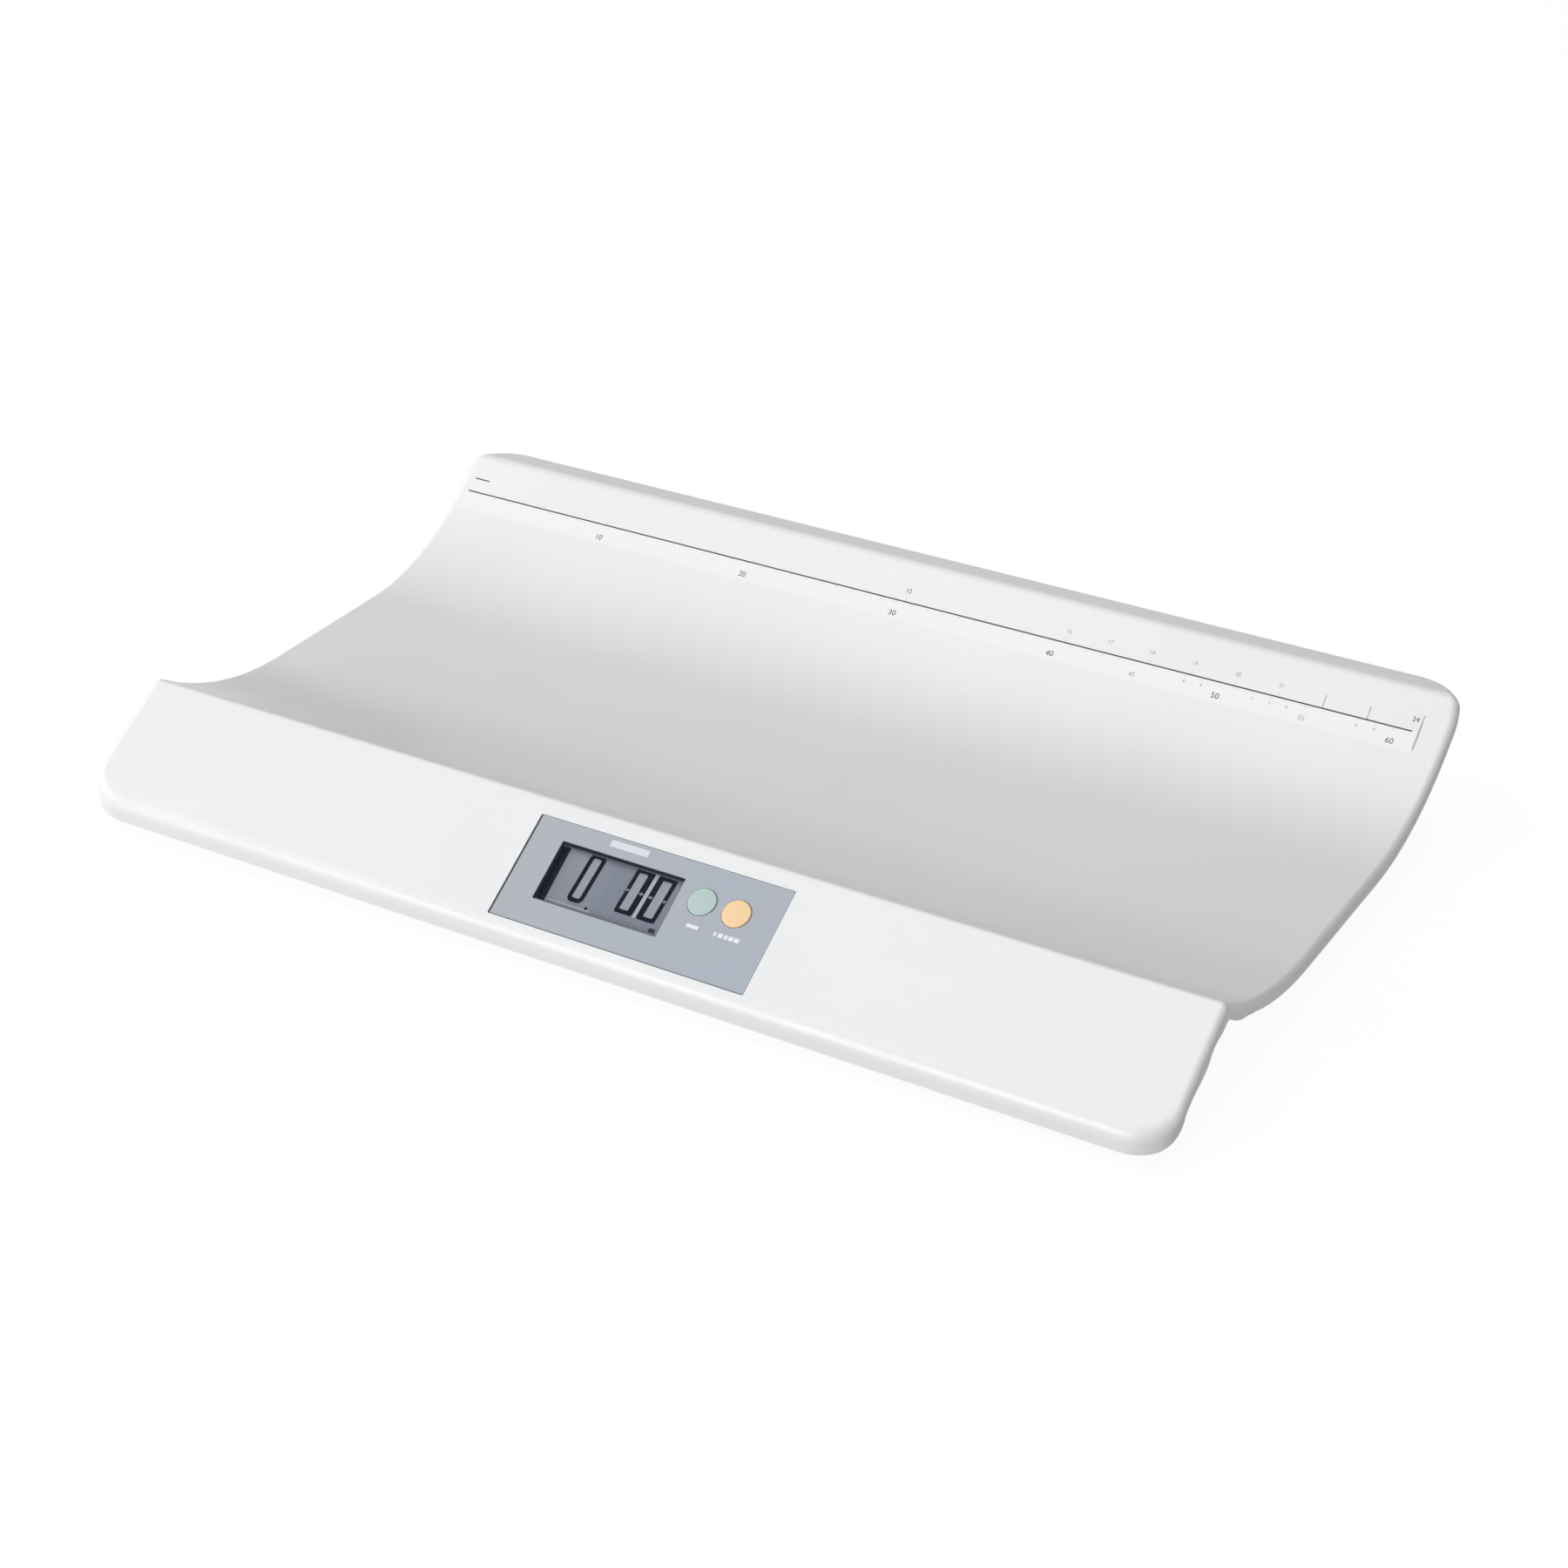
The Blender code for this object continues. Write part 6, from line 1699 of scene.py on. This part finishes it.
@dataclass
class Figures:
    """What the display shows on the face of its cell, and the painted shade in its well."""

    panel: ControlPanel
    skew: Pair = (0.0025, 0.0021)
    noughts: tuple[Nought, ...] = (
        Nought((-0.0388, -0.0112), (-0.0294, 0.0175), 0.0024, 0.0024, 0.0025, 0.046, 0.0030, 0.0012),
        Nought((-0.0112, -0.0092), (-0.0003, 0.0171), 0.0023, 0.0036, 0.0024, 0.049),
        Nought((0.0019, -0.0094), (0.0129, 0.0167), 0.0034, 0.0024, 0.0024, 0.049),
    )
    corner_steps: int = 4
    point: Block = Block("display_point", (0.0016, 0.0016), (-0.0257, -0.0124), Palette.FIGURE)
    sign: Block = Block("display_sign", (0.0036, 0.0024), (0.0136, -0.0130), Palette.FIGURE_SOFT)
    notch: float = 0.0009
    strip_low: float = 0.0043
    strip_high: float = 0.0038
    wall_inset: float = 0.0010
    hairline: float = 0.00040
    hairline_shares: Pair = (2.6, 1.0)
    light_place: float = 0.0033
    light_width: float = 0.0009
    height: float = field(init=False)
    shift: Array = field(init=False)

    def __post_init__(self) -> None:
        """Works out the height of the cell's face, and the shift that sets the figures under the window."""
        self.height = self.panel.lift - self.panel.glass_depth
        self.shift = np.array((-self.skew[0], self.skew[1]))

    def build(self) -> None:
        """The cell's face, its figures, and the painted shade in the well round it."""
        lift = self.panel.lift
        cell = merged_copy("lcd_glass", "display_cell")
        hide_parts("lcd_glass")
        wear(shade(cell), Palette.CELL)
        self.bars()
        kites = [kite for nought in self.noughts[1:] for kite in nought.notches(self.notch)]
        self.quads("display_notches", kites, self.height + lift, Palette.CELL)
        insides = [nought.inside() for nought in self.noughts]
        self.quads("display_insides", insides, self.height - lift / 2, Palette.CELL_LIGHT)
        self.quads("display_lights", self.lights(), self.height - lift / 2, Palette.FIGURE_PALE)
        for block in (self.point, self.sign):
            self.panel.print_block(block, self.height, self.shift)
        self.paint_well_shade()

    def bars(self) -> None:
        """The noughts, each a ring between its outer and its inner outline."""
        rings = [nought.ring(self.corner_steps) + self.shift for nought in self.noughts]
        count = len(rings[0])
        faces = grid_faces(2, count // 2, Joint.RING)
        points = np.column_stack([np.concatenate(rings), np.full(count * len(rings), self.height)])
        faces = np.concatenate([faces + k * count for k in range(len(rings))])
        wear(self.panel.placed("display_noughts", points, faces[:, ::-1]), Palette.FIGURE)

    def quads(self, name: str, corners: list[Array], height: float, finish: Finish) -> None:
        """Flat four-cornered prints on the cell.

        Args:
            name: Name of the piece.
            corners: Four corners of each print.
            height: Height over the apron's plane.
            finish: The finish that it wears.
        """
        points = np.concatenate(corners) + self.shift
        points = np.column_stack([points, np.full(len(points), height)])
        faces = np.arange(len(points)).reshape(-1, 4)
        wear(self.panel.placed(name, points, faces), finish)

    def lights(self) -> list[Array]:
        """The light gap between the two right noughts, and the light line along the foot of the cell.

        Returns:
            Four corners of each.
        """
        first, second = self.noughts[1:]
        gap = first.leaned(box_corners(first.high[0], second.low[0], first.low[1], second.high[1]))
        (left, _), (foot, _) = self.panel.window_span()
        start, end = left + self.strip_low - self.shift[0], self.point.place[0] - self.shift[0]
        foot -= self.shift[1]
        low, high = foot + self.light_place, foot + (self.light_place + self.light_width)
        return [gap, box_corners(start, end, low, high)]

    def wall(self, name: str, start: Pair, end: Pair, low: float, high: float) -> None:
        """An upright sheet of painted shade between two places of the plan, from one height to another."""
        points = np.array([(*start, low), (*end, low), (*end, high), (*start, high)])
        wear(self.panel.placed(name, points, np.array([[0, 1, 2, 3]])), Palette.WELL_PAINTED_SHADE)

    def paint_well_shade(self) -> None:
        """Painted shade in the well: a dark strip over the cell's left end, dark sheets at the opening's left
        and top walls and along its left and top rims; and hairlines at its right.
        """
        panel, lift, inset, height = self.panel, self.panel.lift, self.wall_inset, self.height
        (left, right), (low, high) = panel.window_span()
        # Painted shade over the cell's left end, where the well's left wall shades it.
        strip = np.array([
            (left, low), (left + self.strip_low, low), (left + self.strip_high, high), (left, high),
        ])
        panel.print_on("cell_left_painted_shade", strip, height, Palette.WELL_PAINTED_SHADE)
        under = -panel.set_back - panel.thickness - lift
        left_wall, top_wall = left + inset + lift, high - inset - lift
        # Painted shade: dark sheets where the opening's left and top walls lie in shade.
        self.wall("opening_left_painted_shade", (left_wall, low), (left_wall, high), height, under)
        self.wall("opening_top_painted_shade", (left, top_wall), (right, top_wall), height / 2, under)
        # Painted shade along the opening's left and top rims.
        for name, mask in (
            ("window_left_painted_shade", box_corners(left, left + inset, low, high)),
            ("window_top_painted_shade", box_corners(left, right, high - inset, high)),
        ):
            panel.print_on(name, mask, under, Palette.WELL_PAINTED_SHADE)
        size = self.hairline, high - low - 2 * inset
        for k, share in enumerate(self.hairline_shares):
            place = right - share * inset, (low + high) / 2
            name, corner = f"cell_right_line_{k + 1}", self.hairline / 4
            line = Block(name, size, place, Palette.FIGURE_SOFT, corner, panel.line_steps)
            panel.print_block(line, height + lift * k)


# Lower housing, feet and the inside


@dataclass
class LowerHousing:
    """The base, its door and its feet: their solids with softened edges."""

    shell_edge: float = 0.0003
    door_edge: float = 0.0002
    cup_edge: float = 0.0004
    pad_edge: float = 0.0003

    def build(self) -> None:
        """Copies of the solids with rounded edges, each on its own body."""
        self.soften("base_shell", "housing_shell", HOUSING, Palette.SHELL, self.shell_edge)
        self.soften("battery_door", "battery_bay_door", "battery_door", Palette.SHELL, self.door_edge)
        for corner in ("front_left", "front_right", "back_left", "back_right"):
            self.soften(f"foot_cup_{corner}", f"cup_{corner}", HOUSING, Palette.FOOT, self.cup_edge)
            self.soften(f"foot_pad_{corner}", f"pad_{corner}", HOUSING, Palette.RUBBER, self.pad_edge)

    def soften(self, node: str, name: str, body: str, finish: Finish, width: float) -> None:
        """A merged copy of a node with bevelled edges.

        Args:
            node: Name of the node.
            name: Name of the copy.
            body: The body that it rides on.
            finish: The finish that it wears.
            width: Width of the bevel.
        """
        piece = bevelled(merged_copy(node, name), width)
        piece.modifiers["soft_edges"].use_clamp_overlap = True
        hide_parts(node)
        wear(even_normals(shade(piece)), finish, body)


@dataclass
class InnerParts:
    """Finishes for the nodes that keep their own solids."""

    wrap_colour: Colour = (0.04, 0.09, 0.28)
    wrap_roughness: float = 0.3

    def finishes(self) -> dict[str, Finish]:
        """Which finish each slot wears, apart from the batteries' own.

        Returns:
            A finish for each slot's name.
        """
        return {
            WHITE_SLOT: Palette.TRAY, "base_plastic": Palette.SHELL, "panel_grey": Palette.PANEL,
            "clear_plastic": Palette.CLEAR, DARK_SLOT: Palette.CASE, "display_glass": Palette.CELL,
            "black_rubber": Palette.RUBBER, "bright_steel": Palette.STEEL, "pale_plastic": Palette.HEADER,
            "board_green": Palette.BOARD, "button_green": Palette.GREEN, "button_orange": Palette.ORANGE,
            "red_lead": Palette.RED_LEAD, "black_lead": Palette.BLACK_LEAD, "white_lead": Palette.PALE_LEAD,
        }

    def build(self) -> int:
        """Dresses every node.

        Returns:
            How many nodes there are.
        """
        finishes = self.finishes()
        for part in frame["record"]["subparts"]:
            node = frame["nodes"][part["node"]]
            if part["material_slot"] == "cell_wrap":
                low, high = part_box(part["node"])
                name, centre = f"wrap_{part['node']}", (low.x + high.x) / 2
                finish = WrappedCan(name, self.wrap_colour, self.wrap_roughness, centre=centre)
            else:
                finish = finishes[part["material_slot"]]
            node.data.materials.clear()
            node.data.materials.append(finish.material())
            shade(node)
        return len(frame["nodes"])


# Studio and camera


@dataclass(frozen=True)
class Lamp:
    """A soft rectangular lamp that looks at the scale's middle."""

    name: str
    place: Triple
    size: Pair
    power: float
    colour: Colour = (1.0, 1.0, 1.0)

    def build(self, target: Vector) -> None:
        """Links the lamp and turns it to its target.

        Args:
            target: The point that it looks at.
        """
        light = bpy.data.lights.new(self.name, "AREA")
        light.shape = "RECTANGLE"
        light.size, light.size_y = self.size
        light.energy = self.power
        light.color = self.colour
        obj = bpy.data.objects.new(self.name, light)
        bpy.context.scene.collection.objects.link(obj)
        obj.location = self.place
        obj.rotation_mode = "QUATERNION"
        obj.rotation_quaternion = (target - Vector(self.place)).to_track_quat("-Z", "Y")


@dataclass
class Studio:
    """A plain pale floor that shows as white, a pale world and three soft lamps."""

    ambient: float = 0.186
    sky: Colour = (0.88, 0.94, 1.0)
    seen_sky: Colour = (1.0, 1.0, 1.0)
    floor_size: float = 14.0
    floor_drop: float = 0.0004
    floor_tone: float = 0.55
    floor_roughness: float = 0.9
    floor_glow: float = 1.11
    shadow_share: float = 0.15
    lamps: tuple[Lamp, ...] = (
        Lamp("front_lamp", (-1.50, -4.12, 1.18), (2.4, 1.7), 93.0),
        Lamp("left_lamp", (-4.38, -1.17, 2.11), (2.6, 1.9), 78.0),
        Lamp("top_lamp", (0.0, -0.78, 4.43), (4.5, 4.5), 105.0),
    )

    def build(self, target: Vector) -> None:
        """Floor, world and lamps.

        Args:
            target: The point that the lamps look at.
        """
        self.floor()
        self.world()
        for lamp in self.lamps:
            lamp.build(target)
        bpy.context.scene.view_settings.view_transform = "Standard"

    def floor(self) -> None:
        """A large pale sheet; seen directly or in gloss it is mostly white, and it keeps a faint shadow."""
        half = self.floor_size / 2
        points = np.column_stack([box_corners(-half, half, -half, half), np.full(4, -self.floor_drop)])
        floor = new_object("floor", mesh_of("floor", points, np.array([[0, 1, 2, 3]])))
        material = bpy.data.materials.new("pale_floor")
        material.use_nodes = True
        tree = material.node_tree
        shader = tree.nodes["Principled BSDF"]
        shader.inputs["Base Color"].default_value = (self.floor_tone, self.floor_tone, self.floor_tone, 1)
        shader.inputs["Roughness"].default_value = self.floor_roughness
        glow = tree.nodes.new("ShaderNodeEmission")
        glow.inputs["Strength"].default_value = self.floor_glow
        rays = tree.nodes.new("ShaderNodeLightPath").outputs
        seen = maths(tree, "MAXIMUM", rays["Is Camera Ray"], rays["Is Glossy Ray"])
        seen = maths(tree, "MAXIMUM", seen, rays["Is Transmission Ray"])
        share = maths(tree, "MULTIPLY", seen, 1 - self.shadow_share)
        mix = mixed_shader(tree, share, shader.outputs[0], glow.outputs[0])
        tree.links.new(mix, tree.nodes["Material Output"].inputs["Surface"])
        floor.data.materials.append(material)

    def world(self) -> None:
        """White where it is seen, and dimmer as a light."""
        world = bpy.data.worlds.new("studio")
        world.use_nodes = True
        bpy.context.scene.world = world
        tree = world.node_tree
        background = tree.nodes["Background"]
        background.inputs["Color"].default_value = (*self.sky, 1)
        background.inputs["Strength"].default_value = self.ambient
        seen = tree.nodes.new("ShaderNodeBackground")
        seen.inputs["Color"].default_value = (*self.seen_sky, 1)
        direct = tree.nodes.new("ShaderNodeLightPath").outputs["Is Camera Ray"]
        mix = mixed_shader(tree, direct, background.outputs[0], seen.outputs[0])
        tree.links.new(mix, tree.nodes["World Output"].inputs["Surface"])


@dataclass(frozen=True)
class PhotoCamera:
    """The camera that took the photograph, worked out from the ruler and the outline."""

    azimuth: float = math.radians(30.578)
    elevation: float = math.radians(29.462)
    distance: float = 1.683285
    target: Triple = (0.0166, -0.017689, 0.034001)
    focal_pixels: float = 3639.51
    image_pixels: float = 1800.0
    centre_pixels: Pair = (900.06, 903.47)
    sensor_width: float = 36.0

    def build(self) -> Vector:
        """Links the camera.

        Returns:
            The point that it looks at.
        """
        data = bpy.data.cameras.new("photo_camera")
        data.sensor_width = self.sensor_width
        data.lens = data.sensor_width * self.focal_pixels / self.image_pixels
        data.shift_x = (self.image_pixels / 2 - self.centre_pixels[0]) / self.image_pixels
        data.shift_y = (self.centre_pixels[1] - self.image_pixels / 2) / self.image_pixels
        camera = bpy.data.objects.new("photo_camera", data)
        bpy.context.scene.collection.objects.link(camera)
        flat = math.cos(self.elevation)
        east, north = math.sin(self.azimuth) * flat, math.cos(self.azimuth) * flat
        back = Vector((east, -north, math.sin(self.elevation)))
        target = Vector(self.target)
        camera.location = target + back * self.distance
        camera.rotation_mode = "QUATERNION"
        camera.rotation_quaternion = (-back).to_track_quat("-Z", "Y")
        bpy.context.scene.camera = camera
        return target


def main() -> None:
    """Builds the pieces in order and reports each."""
    logging.basicConfig(level=logging.INFO, format="%(name)s: %(message)s")
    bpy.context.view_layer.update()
    target = PhotoCamera().build()
    Studio().build(target)
    log.info("dressed %d nodes", InnerParts().build())
    section = Section()
    panel = ControlPanel(section)
    tray = TrayShell(section)
    piece = tray.build(panel)
    log.info("%s: %d faces", piece.name, len(piece.data.polygons))
    log.info("ribs and bosses: %d", TrayUnderside(section, tray, panel).build())
    log.info("ruler: %d prints", len(Ruler(section).build()))
    panel.build()
    log.info("control panel built")
    LowerHousing().build()
    log.info("lower housing built")


if __name__ == "__main__":
    main()
